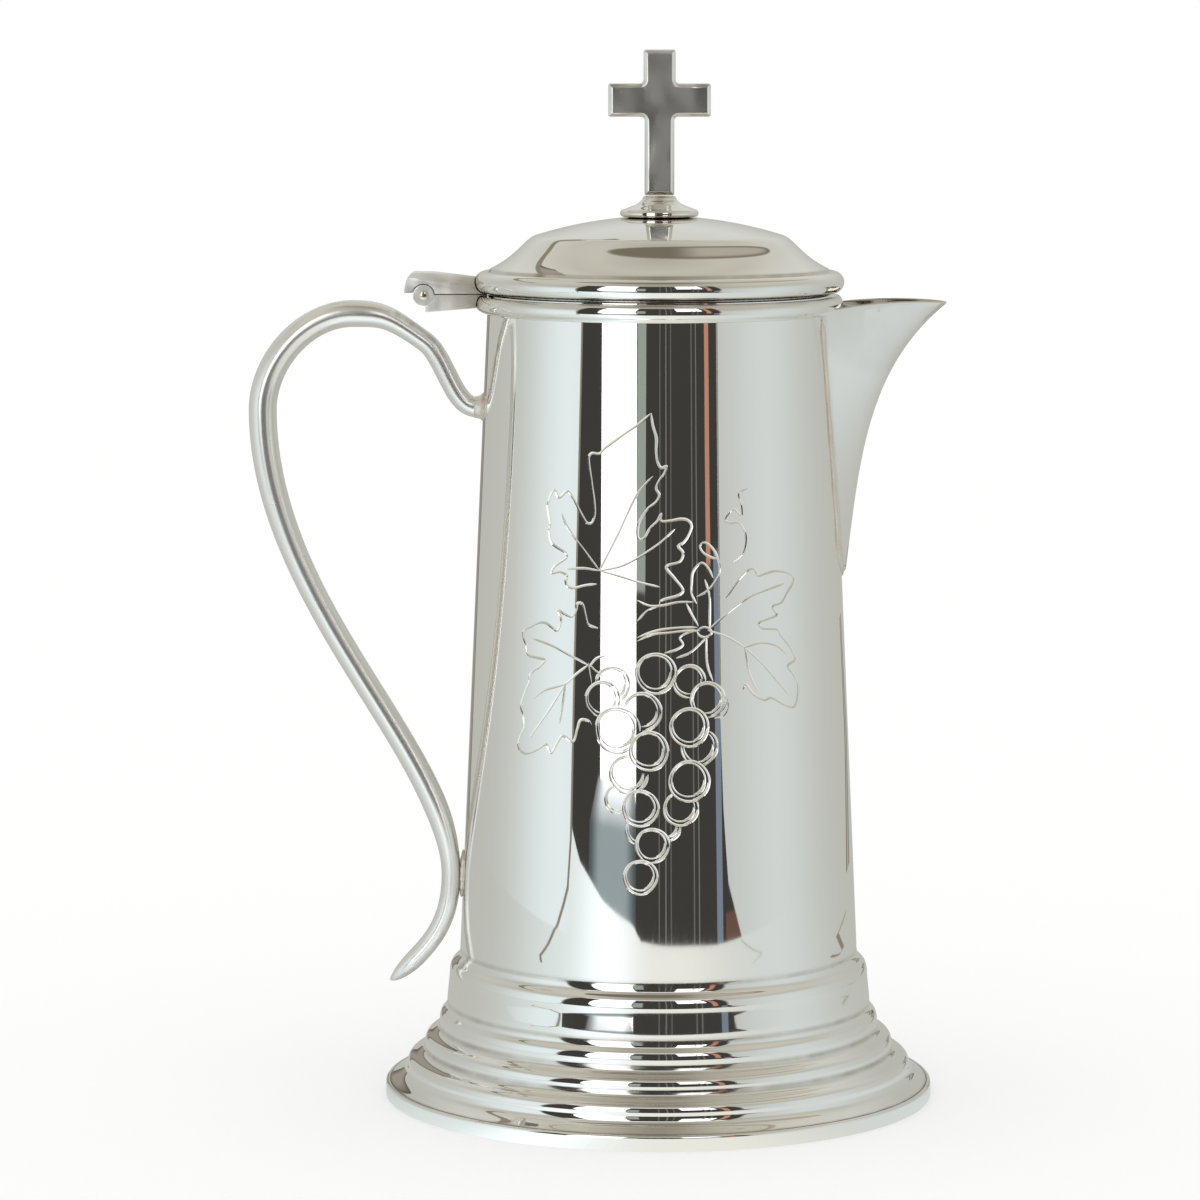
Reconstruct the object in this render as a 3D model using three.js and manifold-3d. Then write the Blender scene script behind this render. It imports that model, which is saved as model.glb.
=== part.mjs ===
// Communion flagon: a tapered silver plated drum on a stepped, spun foot, with a beak spout,
// a cast scroll handle and a domed lid that swings on a knuckle hinge and carries a cross.
// Millimetres, +Z up. The sizes below are measured from the drum's own axis and from the table,
// and the finished group is shifted along X so that its origin is under the middle of its box.
import * as THREE from 'three';
import { mergeVertices } from 'three/addons/utils/BufferGeometryUtils.js';
import Module from 'manifold-3d';

const wasm = await Module();
wasm.setup();

// Clearance left between two pieces that touch, and how finely round pieces are divided.
const seatGap = 0.3;
const roundSegments = 48;
const smallSegments = 16;

// Foot: a flat rim ring, then three cushion beads, a plain band and a shoulder up to the drum.
// Every step is a rise and an outward step from the one above it.
const rimHeight = 4.7;
const rimWidth = 7.5;
const rimEdgeRound = 0.9;
const rimLandWidth = 0.4;
const rimTread = 6.7;
const rimTreadLift = 1.6;
const lowerBeadRise = 4.9;
const lowerBeadStep = 5.4;
const middleBeadRise = 6.5;
const middleBeadStep = 4.5;
const upperBeadRise = 6.5;
const upperBeadStep = 2.4;
const bandSkirtRise = 7.4;
const bandHeight = 7.5;
const bandFlare = 0.75;
const shoulderRise = 8.5;
const shoulderStep = 3.3;
const footWall = 1.0;

// Drum, and the floor that is soldered into its lower end.
const drumBottomRadius = 61.0;
const drumTopRadius = 52.0;
const drumHeight = 200.1;
const drumWall = 1.2;
const floorWall = 1.2;
const floorSkirtDepth = 3.0;
const floorSkirtHeight = 7.0;

// Mouth ring, a turned moulding round the outside of the drum's mouth.
const mouthRingHeight = 5.6;
const mouthRingDepth = 3.5;
const mouthRingDrop = 0.5;

// Spout, measured to its keel line, and the opening in the drum behind it. Drops are from the mouth.
const spoutFootDrop = 83.9;
const spoutFootStand = 1.42;
const spoutTipReach = 88.0;
const spoutTipDrop = 2.3;
const spoutSeamAngleTop = 22.6;
const spoutSeamAngleFoot = 12.0;
const spoutWall = 1.1;
const spoutNoseFullness = 0.5;
const spoutFootRound = 9.0;
const spoutRootDepth = 6.0;
const spoutBrimFall = 3.4;
const spoutBrimCrown = 2.3;
const pourTopDrop = 10.0;
const pourHeight = 56.0;
const pourTopWidth = 25.0;
const pourFootWidth = 13.0;

// Handle: a tapered scroll. Reaches are from the drum's axis to the middle of the bar, drops are
// from the drum's mouth, and its touch and tail are measured from the drum's base.
const handleRootDrop = 34.6;
const handleShoulderReach = 71.4;
const handleShoulderDrop = 14.5;
const handleCrownReach = 93.1;
const handleCrownDrop = 6.1;
const handleBackReach = 120.7;
const handleBackDrop = 35.7;
const handleTouchRise = 21.7;
const handleTailReach = 79.9;
const handleTailFall = 10.3;
const handleShoulderLean = 35.5;
const handleTailLean = 51.6;
const handleRootThickness = 6.2;
const handleBackThickness = 8.5;
const handleShankThickness = 7.5;
const handleTouchThickness = 5.8;
const handleTailThickness = 5.0;
const handleWidthRatio = 1.35;
const rootBossThickness = 1.3;
const rootBossMargin = 0.5;
const touchPadThickness = 0.35;
const touchPadHeight = 12.0;
const touchPadWidth = 4.4;

// Lid shell: dome, shoulder, flare and a rolled bead at the lip.
const lipBeadRadius = 3.2;
const lipBeadReach = 0.9;
const lipNotchDepth = 1.6;
const lipNotchRise = 0.8;
const lidRise = 0.4;
const lidDomeHeight = 19.87;
const lidDomeRadius = 37.5;
const lidDomeSphere = 121.6;
const lidWall = 1.0;
const bezelWall = 1.2;
const bezelClearance = 0.6;
const bezelDepth = 3.6;
const bezelTopDrop = 0.5;

// Finial: a cross on a turned collar, held by a stud, a washer and a nut inside the lid.
const collarRadius = 11.9;
const collarHeight = 5.8;
const collarTopRadius = 5.0;
const collarEdgeHeight = 2.3;
const crossHeight = 43.73;
const crossSpan = 31.0;
const crossThickness = 4.6;
const crossHeadWidth = 9.7;
const crossStemWidth = 9.0;
const crossArmHeight = 10.0;
const crossArmDrop = 10.2;
const crossBevel = 1.0;
const crossInnerRound = 1.2;
const studRadius = 2.0;
const studLength = 12.6;
const washerRadius = 5.0;
const washerThickness = 1.0;
const nutAcrossFlats = 7.0;
const nutThickness = 3.2;

// Hinge, measured from the middle of its pin.
const pinReach = 71.4;
const pinDrop = 0.2;
const pinRadius = 1.1;
const pinHeadRadius = 1.45;
const pinHeadHeight = 0.6;
const hingeWidth = 15.0;
const lidKnuckleWidth = 8.0;
const knuckleRadius = 3.2;
const knuckleClearance = 0.35;
const bodyLeafDepth = 5.1;
const bodyLeafTaper = 1.5;
const bodyLeafSetback = 0.6;
const leafJointRise = 0.15;
const lidLeafHeight = 6.7;
const lidLeafFall = 1.9;
const lidLeafRidgeLength = 5.8;
const lidLeafOverhang = 5.8;
const lidLeafEndRise = 0.7;
const lidLeafChamfer = 2.2;

// Heights and radii that follow from the sizes above.
const lowerBeadHeight = rimHeight + lowerBeadRise;
const middleBeadHeight = lowerBeadHeight + middleBeadRise;
const upperBeadHeight = middleBeadHeight + upperBeadRise;
const bandFootHeight = upperBeadHeight + bandSkirtRise;
const bandTopHeight = bandFootHeight + bandHeight;
const footTopHeight = bandTopHeight + shoulderRise;
const bandTopRadius = drumBottomRadius + shoulderStep;
const bandFootRadius = bandTopRadius + bandFlare;
const upperBeadRadius = bandFootRadius + upperBeadStep;
const middleBeadRadius = upperBeadRadius + middleBeadStep;
const lowerBeadRadius = middleBeadRadius + lowerBeadStep;
const rimRadius = lowerBeadRadius + rimTread;
const drumBase = footTopHeight + seatGap;
const drumTop = drumBase + drumHeight;
const mouthRingTop = drumTop - mouthRingDrop;
const mouthRingBase = mouthRingTop - mouthRingHeight;
const mouthRingRadius = drumRadiusAt(mouthRingBase) + mouthRingDepth;
const spoutTipHeight = drumTop - spoutTipDrop;
const spoutFootHeight = drumTop - spoutFootDrop;
const spoutFootReach = drumRadiusAt(spoutFootHeight) + spoutFootStand;
const lipBeadHeight = drumTop + lidRise + lipBeadRadius;
const lipBeadCentre = drumTopRadius + lipBeadReach;
const lidTop = lipBeadHeight + lidDomeHeight;
const lidCavityTop = lidTop - lidWall;
const pinHeight = drumTop - pinDrop;
const handleRootHeight = drumTop - handleRootDrop;
const handleTouchHeight = drumBase + handleTouchRise;
const handleTouchReach = drumRadiusAt(handleTouchHeight) + touchPadThickness + 2 * seatGap
  + handleTouchThickness / 2;
const handleRootReach = drumRadiusAt(handleRootHeight) + rootBossThickness + 2 * seatGap;

const platedSilver = new THREE.MeshStandardMaterial({ color: 0xd9d7d0, roughness: 0.12, metalness: 1 });
const platedInside = new THREE.MeshStandardMaterial({ color: 0xcfccc2, roughness: 0.3, metalness: 1 });
const brassHardware = new THREE.MeshStandardMaterial({ color: 0xb99a55, roughness: 0.35, metalness: 1 });

// Outer radius of the tapered drum at a height.
function drumRadiusAt(height) {
  return drumTopRadius + (drumTop - height) * (drumBottomRadius - drumTopRadius) / drumHeight;
}

// Points of a cubic curve in a profile or outline, without its first point.
function cubicPoints(start, startPull, endPull, end, steps) {
  const curve = new THREE.CubicBezierCurve(start, startPull, endPull, end);
  return curve.getPoints(steps).slice(1);
}

// An ogee between two upright stretches of a turned profile, going up and inwards.
function ogeePoints(low, high, steps) {
  const stiffness = 0.7;
  const rise = high.y - low.y;
  const lowPull = new THREE.Vector2(low.x, low.y + stiffness * rise);
  const highPull = new THREE.Vector2(high.x, high.y - stiffness * rise);
  return cubicPoints(low, lowPull, highPull, high, steps);
}

// Points of an arc in a profile, from one angle to another in degrees.
function arcPoints(centreX, centreY, radius, startAngle, endAngle, steps) {
  const points = [];
  for (let i = 0; i <= steps; i += 1) {
    const angle = THREE.MathUtils.degToRad(startAngle + (endAngle - startAngle) * i / steps);
    points.push(new THREE.Vector2(centreX + radius * Math.cos(angle), centreY + radius * Math.sin(angle)));
  }
  return points;
}

// The same line moved to its left by a distance, with mitred corners.
function offsetLine(points, distance) {
  return points.map((point, i) => {
    const before = points[Math.max(i - 1, 0)];
    const after = points[Math.min(i + 1, points.length - 1)];
    const into = new THREE.Vector2().subVectors(i > 0 ? point : after, i > 0 ? before : point).normalize();
    const out = new THREE.Vector2()
      .subVectors(i < points.length - 1 ? after : point, i < points.length - 1 ? point : before)
      .normalize();
    const middle = new THREE.Vector2().addVectors(into, out).normalize();
    const reach = distance / Math.max(middle.dot(into), 0.5);
    return new THREE.Vector2(point.x - middle.y * reach, point.y + middle.x * reach);
  });
}

// Closed profile of a sheet of metal: a line that runs upwards on the outside, and its wall.
function sheetProfile(outside, wall) {
  return [...outside, ...offsetLine(outside, wall).reverse(), outside[0].clone()];
}

// A boolean solid from a closed geometry, with flat triangles at the poles left out.
function solidFrom(geometry) {
  const bare = new THREE.BufferGeometry();
  bare.setAttribute('position', geometry.getAttribute('position').clone());
  bare.setIndex(geometry.index);
  const welded = mergeVertices(bare, 1e-4);
  const corners = welded.index.array;
  const kept = [];
  for (let i = 0; i < corners.length; i += 3) {
    const [a, b, c] = [corners[i], corners[i + 1], corners[i + 2]];
    if (a !== b && b !== c && c !== a) kept.push(a, b, c);
  }
  return new wasm.Manifold(new wasm.Mesh({
    numProp: 3,
    vertProperties: new Float32Array(welded.getAttribute('position').array),
    triVerts: new Uint32Array(kept),
  }));
}

// A geometry from a boolean solid.
function geometryFrom(solid) {
  const mesh = solid.getMesh();
  const geometry = new THREE.BufferGeometry();
  geometry.setAttribute('position', new THREE.BufferAttribute(new Float32Array(mesh.vertProperties), 3));
  geometry.setIndex(new THREE.BufferAttribute(new Uint32Array(mesh.triVerts), 1));
  geometry.computeVertexNormals();
  return geometry;
}

// A named sub-part.
function part(name, solid, material) {
  const mesh = new THREE.Mesh(geometryFrom(solid), material);
  mesh.name = name;
  return mesh;
}

// A turned solid from a profile of radius and height, closed on itself or ending on the axis.
function turned(profile, segments = roundSegments) {
  const geometry = new THREE.LatheGeometry(profile, segments);
  geometry.rotateX(Math.PI / 2);
  return solidFrom(geometry);
}

// A plain turned disc or plug between two heights.
function turnedPlug(radius, low, high, segments) {
  return turned([
    new THREE.Vector2(0, low),
    new THREE.Vector2(radius, low),
    new THREE.Vector2(radius, high),
    new THREE.Vector2(0, high),
  ], segments);
}

// A solid whose outline lies in the XZ plane and whose width runs along Y.
function sideCut(outline, low, high) {
  const geometry = new THREE.ExtrudeGeometry(outline, {
    depth: high - low,
    bevelEnabled: false,
    curveSegments: smallSegments / 2,
  });
  geometry.rotateX(Math.PI / 2);
  geometry.translate(0, high, 0);
  return solidFrom(geometry.index ? geometry : mergeVertices(geometry, 1e-5));
}

// A solid whose outline lies in the YZ plane and whose length runs along X.
function crossCut(outline, low, high) {
  const geometry = new THREE.ExtrudeGeometry(outline, {
    depth: high - low,
    bevelEnabled: false,
    curveSegments: smallSegments / 4,
  });
  const turn = new THREE.Matrix4().makeBasis(
    new THREE.Vector3(0, 1, 0),
    new THREE.Vector3(0, 0, 1),
    new THREE.Vector3(1, 0, 0),
  );
  geometry.applyMatrix4(turn);
  geometry.translate(low, 0, 0);
  return solidFrom(mergeVertices(geometry, 1e-5));
}

// A rod along Y at a place in the XZ plane.
function crossRod(x, z, radius, low, high) {
  const outline = new THREE.Shape();
  outline.absarc(x, z, radius, 0, 2 * Math.PI);
  return sideCut(outline, low, high);
}

// A solid lofted through closed rings of as many points each, with flat ends.
function lofted(rings) {
  const count = rings[0].length;
  const positions = rings.flat().flatMap((point) => [point.x, point.y, point.z]);
  const triangles = [];
  for (let ring = 0; ring < rings.length - 1; ring += 1) {
    for (let i = 0; i < count; i += 1) {
      const here = ring * count + i;
      const beside = ring * count + (i + 1) % count;
      triangles.push(here, beside, beside + count, here, beside + count, here + count);
    }
  }
  for (const [ring, flip] of [[0, true], [rings.length - 1, false]]) {
    const middle = positions.length / 3;
    const centre = rings[ring].reduce((sum, point) => sum.add(point), new THREE.Vector3());
    centre.divideScalar(count);
    positions.push(centre.x, centre.y, centre.z);
    for (let i = 0; i < count; i += 1) {
      const here = ring * count + i;
      const beside = ring * count + (i + 1) % count;
      triangles.push(...(flip ? [middle, beside, here] : [middle, here, beside]));
    }
  }
  const geometry = new THREE.BufferGeometry();
  geometry.setAttribute('position', new THREE.Float32BufferAttribute(positions, 3));
  geometry.setIndex(triangles);
  return solidFrom(geometry);
}

// The space that the drum fills, grown by a clearance, which pieces soldered to it are cut by.
function drumSpace(clearance) {
  return turned([
    new THREE.Vector2(0, drumBase),
    new THREE.Vector2(drumRadiusAt(drumBase) + clearance, drumBase),
    new THREE.Vector2(drumRadiusAt(drumTop) + clearance, drumTop),
    new THREE.Vector2(0, drumTop),
  ]);
}

// Foot rim: the flat ring that the flagon stands on, with a rebate for the edge of the shell.
function makeFootRim() {
  const inside = rimRadius - rimWidth;
  const land = rimRadius - rimEdgeRound - rimLandWidth;
  const rebate = rimHeight - footWall;
  return turned([
    new THREE.Vector2(inside, 0),
    new THREE.Vector2(rimRadius, 0),
    ...arcPoints(rimRadius - rimEdgeRound, rimHeight - rimEdgeRound, rimEdgeRound, 0, 90, 3),
    new THREE.Vector2(land, rimHeight),
    new THREE.Vector2(land, rebate),
    new THREE.Vector2(inside, rebate),
    new THREE.Vector2(inside, 0),
  ]);
}

// Foot shell: one spun sheet whose cushion beads are joined by hollow curves.
function makeFootShell() {
  const edge = new THREE.Vector2(rimRadius - rimEdgeRound - rimLandWidth - seatGap, rimHeight + seatGap);
  const lowerBead = new THREE.Vector2(lowerBeadRadius, lowerBeadHeight);
  const middleBead = new THREE.Vector2(middleBeadRadius, middleBeadHeight);
  const upperBead = new THREE.Vector2(upperBeadRadius, upperBeadHeight);
  const bandFoot = new THREE.Vector2(bandFootRadius, bandFootHeight);
  const bandTop = new THREE.Vector2(bandTopRadius, bandTopHeight);
  const neck = new THREE.Vector2(drumBottomRadius, footTopHeight);
  const treadPull = new THREE.Vector2(edge.x - 0.5 * rimTread, edge.y + rimTreadLift);
  const beadPull = new THREE.Vector2(lowerBead.x, lowerBead.y - 0.6 * lowerBeadRise);
  const outside = [
    edge,
    ...cubicPoints(edge, treadPull, beadPull, lowerBead, 4),
    ...ogeePoints(lowerBead, middleBead, 5),
    ...ogeePoints(middleBead, upperBead, 5),
    ...ogeePoints(upperBead, bandFoot, 4),
    bandTop,
    ...ogeePoints(bandTop, neck, 4),
  ];
  return turned(sheetProfile(outside, footWall));
}

// Drum: the tapered wall, open at both ends, with the pouring opening behind the spout.
function makeDrum() {
  const wall = turned([
    new THREE.Vector2(drumBottomRadius - drumWall, drumBase),
    new THREE.Vector2(drumBottomRadius, drumBase),
    new THREE.Vector2(drumTopRadius, drumTop),
    new THREE.Vector2(drumTopRadius - drumWall, drumTop),
    new THREE.Vector2(drumBottomRadius - drumWall, drumBase),
  ]);
  const top = drumTop - pourTopDrop;
  const foot = top - pourHeight;
  const opening = new THREE.Shape();
  opening.moveTo(-pourTopWidth / 2, top);
  opening.lineTo(-pourFootWidth / 2, foot + pourFootWidth / 2);
  opening.quadraticCurveTo(-pourFootWidth / 2, foot, 0, foot);
  opening.quadraticCurveTo(pourFootWidth / 2, foot, pourFootWidth / 2, foot + pourFootWidth / 2);
  opening.lineTo(pourTopWidth / 2, top);
  opening.closePath();
  return wall.subtract(crossCut(opening, drumTopRadius / 2, spoutTipReach));
}

// Floor: a shallow cup soldered inside the lower end of the drum, over the joint with the foot.
function makeFloor() {
  const low = drumBase - floorSkirtDepth;
  const high = drumBase + floorSkirtHeight;
  const lowRadius = drumBottomRadius - drumWall - seatGap;
  const highRadius = drumRadiusAt(high) - drumWall - seatGap;
  return turned([
    new THREE.Vector2(0, low),
    new THREE.Vector2(lowRadius - floorWall, low),
    new THREE.Vector2(lowRadius, low + floorWall),
    new THREE.Vector2(lowRadius, drumBase),
    new THREE.Vector2(highRadius, high),
    new THREE.Vector2(highRadius - floorWall, high),
    new THREE.Vector2(lowRadius - floorWall, drumBase),
    new THREE.Vector2(lowRadius - 2 * floorWall, low + floorWall),
    new THREE.Vector2(0, low + floorWall),
  ]);
}

// Outside line of the mouth ring, from its lower edge up, grown by a clearance. It is undercut
// below its fullest part, and rounds off more gently above it.
function mouthRingOutside(clearance) {
  const foot = new THREE.Vector2(drumRadiusAt(mouthRingBase) + seatGap, mouthRingBase);
  const fullest = new THREE.Vector2(mouthRingRadius, mouthRingBase + 0.55 * mouthRingHeight);
  const top = new THREE.Vector2(mouthRingRadius - 0.37 * mouthRingDepth, mouthRingTop);
  const outside = [
    foot,
    ...cubicPoints(
      foot,
      new THREE.Vector2(fullest.x - 0.3 * mouthRingDepth, foot.y + 0.12 * mouthRingHeight),
      new THREE.Vector2(fullest.x, fullest.y - 0.3 * mouthRingHeight),
      fullest,
      3,
    ),
    ...cubicPoints(
      fullest,
      new THREE.Vector2(fullest.x, fullest.y + 0.25 * mouthRingHeight),
      new THREE.Vector2(top.x + 0.12 * mouthRingDepth, top.y),
      top,
      2,
    ),
  ];
  const last = outside.length - 1;
  return outside.map((point, i) => {
    const lift = i === 0 ? -clearance : clearance;
    return new THREE.Vector2(point.x + clearance, i === 0 || i === last ? point.y + lift : point.y);
  });
}

// Mouth ring: a rounded moulding that stiffens the mouth.
function makeMouthRing() {
  const outside = mouthRingOutside(0);
  const innerTop = new THREE.Vector2(drumRadiusAt(mouthRingTop) + seatGap, mouthRingTop);
  return turned([...outside, innerTop, outside[0].clone()]);
}

// The space inside the mouth ring's outside, which the hinge and spout are cut by.
function mouthRingSpace(clearance) {
  const outside = mouthRingOutside(clearance);
  return turned([
    new THREE.Vector2(0, outside[0].y),
    ...outside,
    new THREE.Vector2(0, outside[outside.length - 1].y),
  ]);
}

// The spout's keel, the line that runs up its front to the tip.
function spoutKeel() {
  const height = spoutTipHeight - spoutFootHeight;
  const reach = spoutTipReach - spoutFootReach;
  return new THREE.CubicBezierCurve(
    new THREE.Vector2(spoutFootReach, spoutFootHeight),
    new THREE.Vector2(spoutFootReach + 0.13 * reach, spoutFootHeight + 0.42 * height),
    new THREE.Vector2(spoutFootReach + 0.2 * reach, spoutFootHeight + 0.76 * height),
    new THREE.Vector2(spoutTipReach, spoutTipHeight),
  );
}

// Angle on the drum between the spout's keel and its seam, which closes in to a round foot.
function spoutSeamAngle(height) {
  const share = (height - spoutFootHeight) / (spoutTipHeight - spoutFootHeight);
  const even = THREE.MathUtils.lerp(spoutSeamAngleFoot, spoutSeamAngleTop, share);
  const up = Math.min((height - spoutFootHeight) / spoutFootRound, 1);
  return THREE.MathUtils.degToRad(even * Math.sqrt(1 - 0.96 * (1 - up) ** 2));
}

// One level section of the spout: a rounded V from one seam round the keel to the other.
function spoutRing(keelReach, height, inset) {
  const angle = spoutSeamAngle(height);
  const radius = drumRadiusAt(height);
  const seamX = radius * Math.cos(angle);
  const seamY = radius * Math.sin(angle) - inset;
  const front = keelReach - inset * 1.5;
  const depth = Math.max(front - seamX, 0.35 * spoutWall);
  const nose = spoutNoseFullness * depth;
  const spread = ((depth + nose) ** 2 - nose ** 2) / seamY ** 2;
  const ring = [new THREE.Vector3(seamX - spoutRootDepth, seamY, height)];
  const steps = 12;
  for (let i = 0; i <= steps; i += 1) {
    const y = seamY * Math.cos(Math.PI * i / steps);
    ring.push(new THREE.Vector3(front + nose - Math.sqrt(nose ** 2 + spread * y ** 2), y, height));
  }
  ring.push(new THREE.Vector3(seamX - spoutRootDepth, -seamY, height));
  return ring.reverse();
}

// The spout as a solid beak whose sides are set in by the inset, run on past its own top.
function spoutBeak(inset) {
  const keel = spoutKeel();
  const steps = 13;
  const rings = [];
  for (let i = 0; i <= steps; i += 1) {
    const point = keel.getPoint((i / steps) ** 1.6);
    rings.push(spoutRing(point.x, point.y, inset));
  }
  const tip = keel.getPoint(1);
  const heading = keel.getTangent(1);
  const beyond = tip.clone().addScaledVector(heading, spoutTipDrop / heading.y);
  rings.push(spoutRing(beyond.x, beyond.y, inset));
  return lofted(rings);
}

// Spout: a folded sheet with a sharp keel, open along its top and seated on the drum. The brim
// rises from the drum to a low crown and falls again to the tip.
function makeSpout() {
  const start = 0.8 * drumTopRadius;
  const crown = 0.76 * spoutTipReach;
  const end = 1.05 * spoutTipReach;
  const clearOfTop = spoutTipHeight + drumTopRadius;
  const above = new THREE.Shape();
  above.moveTo(start, spoutTipHeight - spoutBrimFall);
  above.quadraticCurveTo(crown, spoutTipHeight + spoutBrimCrown, end, spoutTipHeight - 0.2 * spoutBrimCrown);
  above.lineTo(end, clearOfTop);
  above.lineTo(start, clearOfTop);
  above.closePath();
  return spoutBeak(0)
    .subtract(spoutBeak(spoutWall))
    .subtract(sideCut(above, -drumTopRadius, drumTopRadius))
    .subtract(drumSpace(seatGap))
    .subtract(mouthRingSpace(seatGap));
}

// A heading in the handle's plane, leaning up or down from straight outwards by an angle in degrees.
function handleHeading(lean) {
  const angle = THREE.MathUtils.degToRad(lean);
  return new THREE.Vector3(-Math.cos(angle), 0, Math.sin(angle));
}

// One stretch of the handle's middle line. The pulls on its ends are shares of its chord.
function handleStretch(from, fromHeading, fromPull, to, toHeading, toPull) {
  const chord = from.distanceTo(to);
  return new THREE.CubicBezierCurve3(
    from,
    from.clone().addScaledVector(fromHeading, fromPull * chord),
    to.clone().addScaledVector(toHeading, -toPull * chord),
    to,
  );
}

// The middle line of the handle, from its root on the drum over the crown and down to the tail.
function handlePath() {
  const at = (reach, height) => new THREE.Vector3(-reach, 0, height);
  const root = at(handleRootReach, handleRootHeight);
  const shoulder = at(handleShoulderReach, drumTop - handleShoulderDrop);
  const crown = at(handleCrownReach, drumTop - handleCrownDrop);
  const back = at(handleBackReach, drumTop - handleBackDrop);
  const touch = at(handleTouchReach, handleTouchHeight);
  const tail = at(handleTailReach, drumBase - handleTailFall);
  const outwards = handleHeading(0);
  const upwards = handleHeading(handleShoulderLean);
  const down = handleHeading(-90);
  const away = handleHeading(-handleTailLean);
  const path = new THREE.CurvePath();
  path.add(handleStretch(root, outwards, 0.29, shoulder, upwards, 0.31));
  path.add(handleStretch(shoulder, upwards, 0.56, crown, outwards, 0.39));
  path.add(handleStretch(crown, outwards, 0.36, back, down, 0.37));
  path.add(handleStretch(back, down, 0.39, touch, down, 0.25));
  path.add(handleStretch(touch, down, 0.53, tail, away, 0.28));
  return path;
}

// Thickness of the handle's bar on one of the five stretches of its path. The long shank thins
// soon after the back, stays even, and thins again just before it touches the drum.
function handleThickness(stretch, share) {
  const ease = THREE.MathUtils.smoothstep;
  const crownThickness = 0.96 * handleBackThickness;
  const ends = [
    [handleRootThickness, handleRootThickness],
    [handleRootThickness, crownThickness],
    [crownThickness, handleBackThickness],
    [handleBackThickness, handleShankThickness],
    [handleTouchThickness, handleTailThickness],
  ];
  const shankStretch = 3;
  const thinning = stretch === shankStretch ? ease(share, 0, 0.4) : ease(share, 0, 1);
  const even = THREE.MathUtils.lerp(...ends[stretch], thinning);
  return stretch === shankStretch
    ? THREE.MathUtils.lerp(even, handleTouchThickness, ease(share, 0.8, 1))
    : even;
}

// The handle as a solid bar of oval section, grown by a clearance, with a rounded tail.
function handleBar(clearance) {
  const path = handlePath();
  const stepsPerStretch = [6, 5, 9, 14, 9];
  const sides = 12;
  const rings = [];
  path.curves.forEach((curve, index) => {
    const steps = stepsPerStretch[index];
    for (let i = index === 0 ? 0 : 1; i <= steps; i += 1) {
      const share = i / steps;
      const half = handleThickness(index, share) / 2;
      rings.push({ point: curve.getPoint(share), heading: curve.getTangent(share), half });
    }
  });
  const last = rings[rings.length - 1];
  for (const angle of [35, 65, 85]) {
    const lean = THREE.MathUtils.degToRad(angle);
    rings.push({
      point: last.point.clone().addScaledVector(last.heading, last.half * Math.sin(lean)),
      heading: last.heading,
      half: last.half * Math.cos(lean),
    });
  }
  return lofted(rings.map(({ point, heading, half }) => {
    const outward = new THREE.Vector3(heading.z, 0, -heading.x);
    const ring = [];
    for (let i = 0; i < sides; i += 1) {
      const angle = 2 * Math.PI * i / sides;
      const place = point.clone().addScaledVector(outward, (half + clearance) * Math.cos(angle));
      place.y = (half * handleWidthRatio + clearance) * Math.sin(angle);
      ring.push(place);
    }
    return ring;
  }));
}

// Handle root boss: the solder collar between the handle's upper end and the drum.
function makeRootBoss() {
  const outline = new THREE.Shape();
  const halfHeight = handleRootThickness / 2 + rootBossMargin;
  const halfWidth = handleRootThickness * handleWidthRatio / 2 + rootBossMargin;
  outline.absellipse(0, handleRootHeight, halfWidth, halfHeight, 0, 2 * Math.PI);
  return crossCut(outline, seatGap - handleRootReach, -0.9 * drumTopRadius).subtract(drumSpace(seatGap));
}

// Touch pad: the solder that fills the narrow gap where the handle meets the drum lower down.
function makeTouchPad() {
  const low = handleTouchHeight - touchPadHeight / 2;
  const high = handleTouchHeight + touchPadHeight / 2;
  const outline = new THREE.Shape();
  outline.moveTo(-handleTouchReach, low);
  outline.lineTo(-0.9 * drumTopRadius, low);
  outline.lineTo(-0.9 * drumTopRadius, high);
  outline.lineTo(-handleTouchReach, high);
  outline.closePath();
  return sideCut(outline, -touchPadWidth / 2, touchPadWidth / 2)
    .subtract(drumSpace(seatGap))
    .subtract(handleBar(seatGap));
}

// Height of the lid's dome at a radius.
function domeHeightAt(radius) {
  return lidTop - radius ** 2 / (2 * lidDomeSphere);
}

// Lid shell: dome, shoulder and flare in one spun sheet, with its lip rolled into a bead.
function makeLidShell() {
  const notchHeight = lipBeadHeight + lipBeadRadius + lipNotchRise;
  const notch = new THREE.Vector2(lipBeadCentre - lipNotchDepth, notchHeight);
  const domeEdge = new THREE.Vector2(lidDomeRadius, domeHeightAt(lidDomeRadius));
  const run = notch.x - domeEdge.x;
  const rise = domeEdge.y - notch.y;
  const outside = [
    ...arcPoints(lipBeadCentre, lipBeadHeight, lipBeadRadius, -118, 108, 8),
    notch,
    ...cubicPoints(
      notch,
      new THREE.Vector2(notch.x - 0.59 * run, notch.y + 0.38 * rise),
      new THREE.Vector2(domeEdge.x + 0.25 * run, domeEdge.y - 0.11 * rise),
      domeEdge,
      5,
    ),
  ];
  const domeSteps = 3;
  for (let i = 1; i <= domeSteps; i += 1) {
    const radius = THREE.MathUtils.lerp(lidDomeRadius, studRadius + seatGap, i / domeSteps);
    outside.push(new THREE.Vector2(radius, domeHeightAt(radius)));
  }
  return turned(sheetProfile(outside, lidWall));
}

// The space that the lid's lip fills, grown by a clearance, which the lid's hinge leaf is cut by.
function lipSpace(clearance) {
  const reach = lipBeadRadius + clearance;
  return turned([
    new THREE.Vector2(0, lipBeadHeight - reach),
    ...arcPoints(lipBeadCentre, lipBeadHeight, reach, -90, 90, 12),
    new THREE.Vector2(0, lipBeadHeight + reach),
  ]);
}

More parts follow.
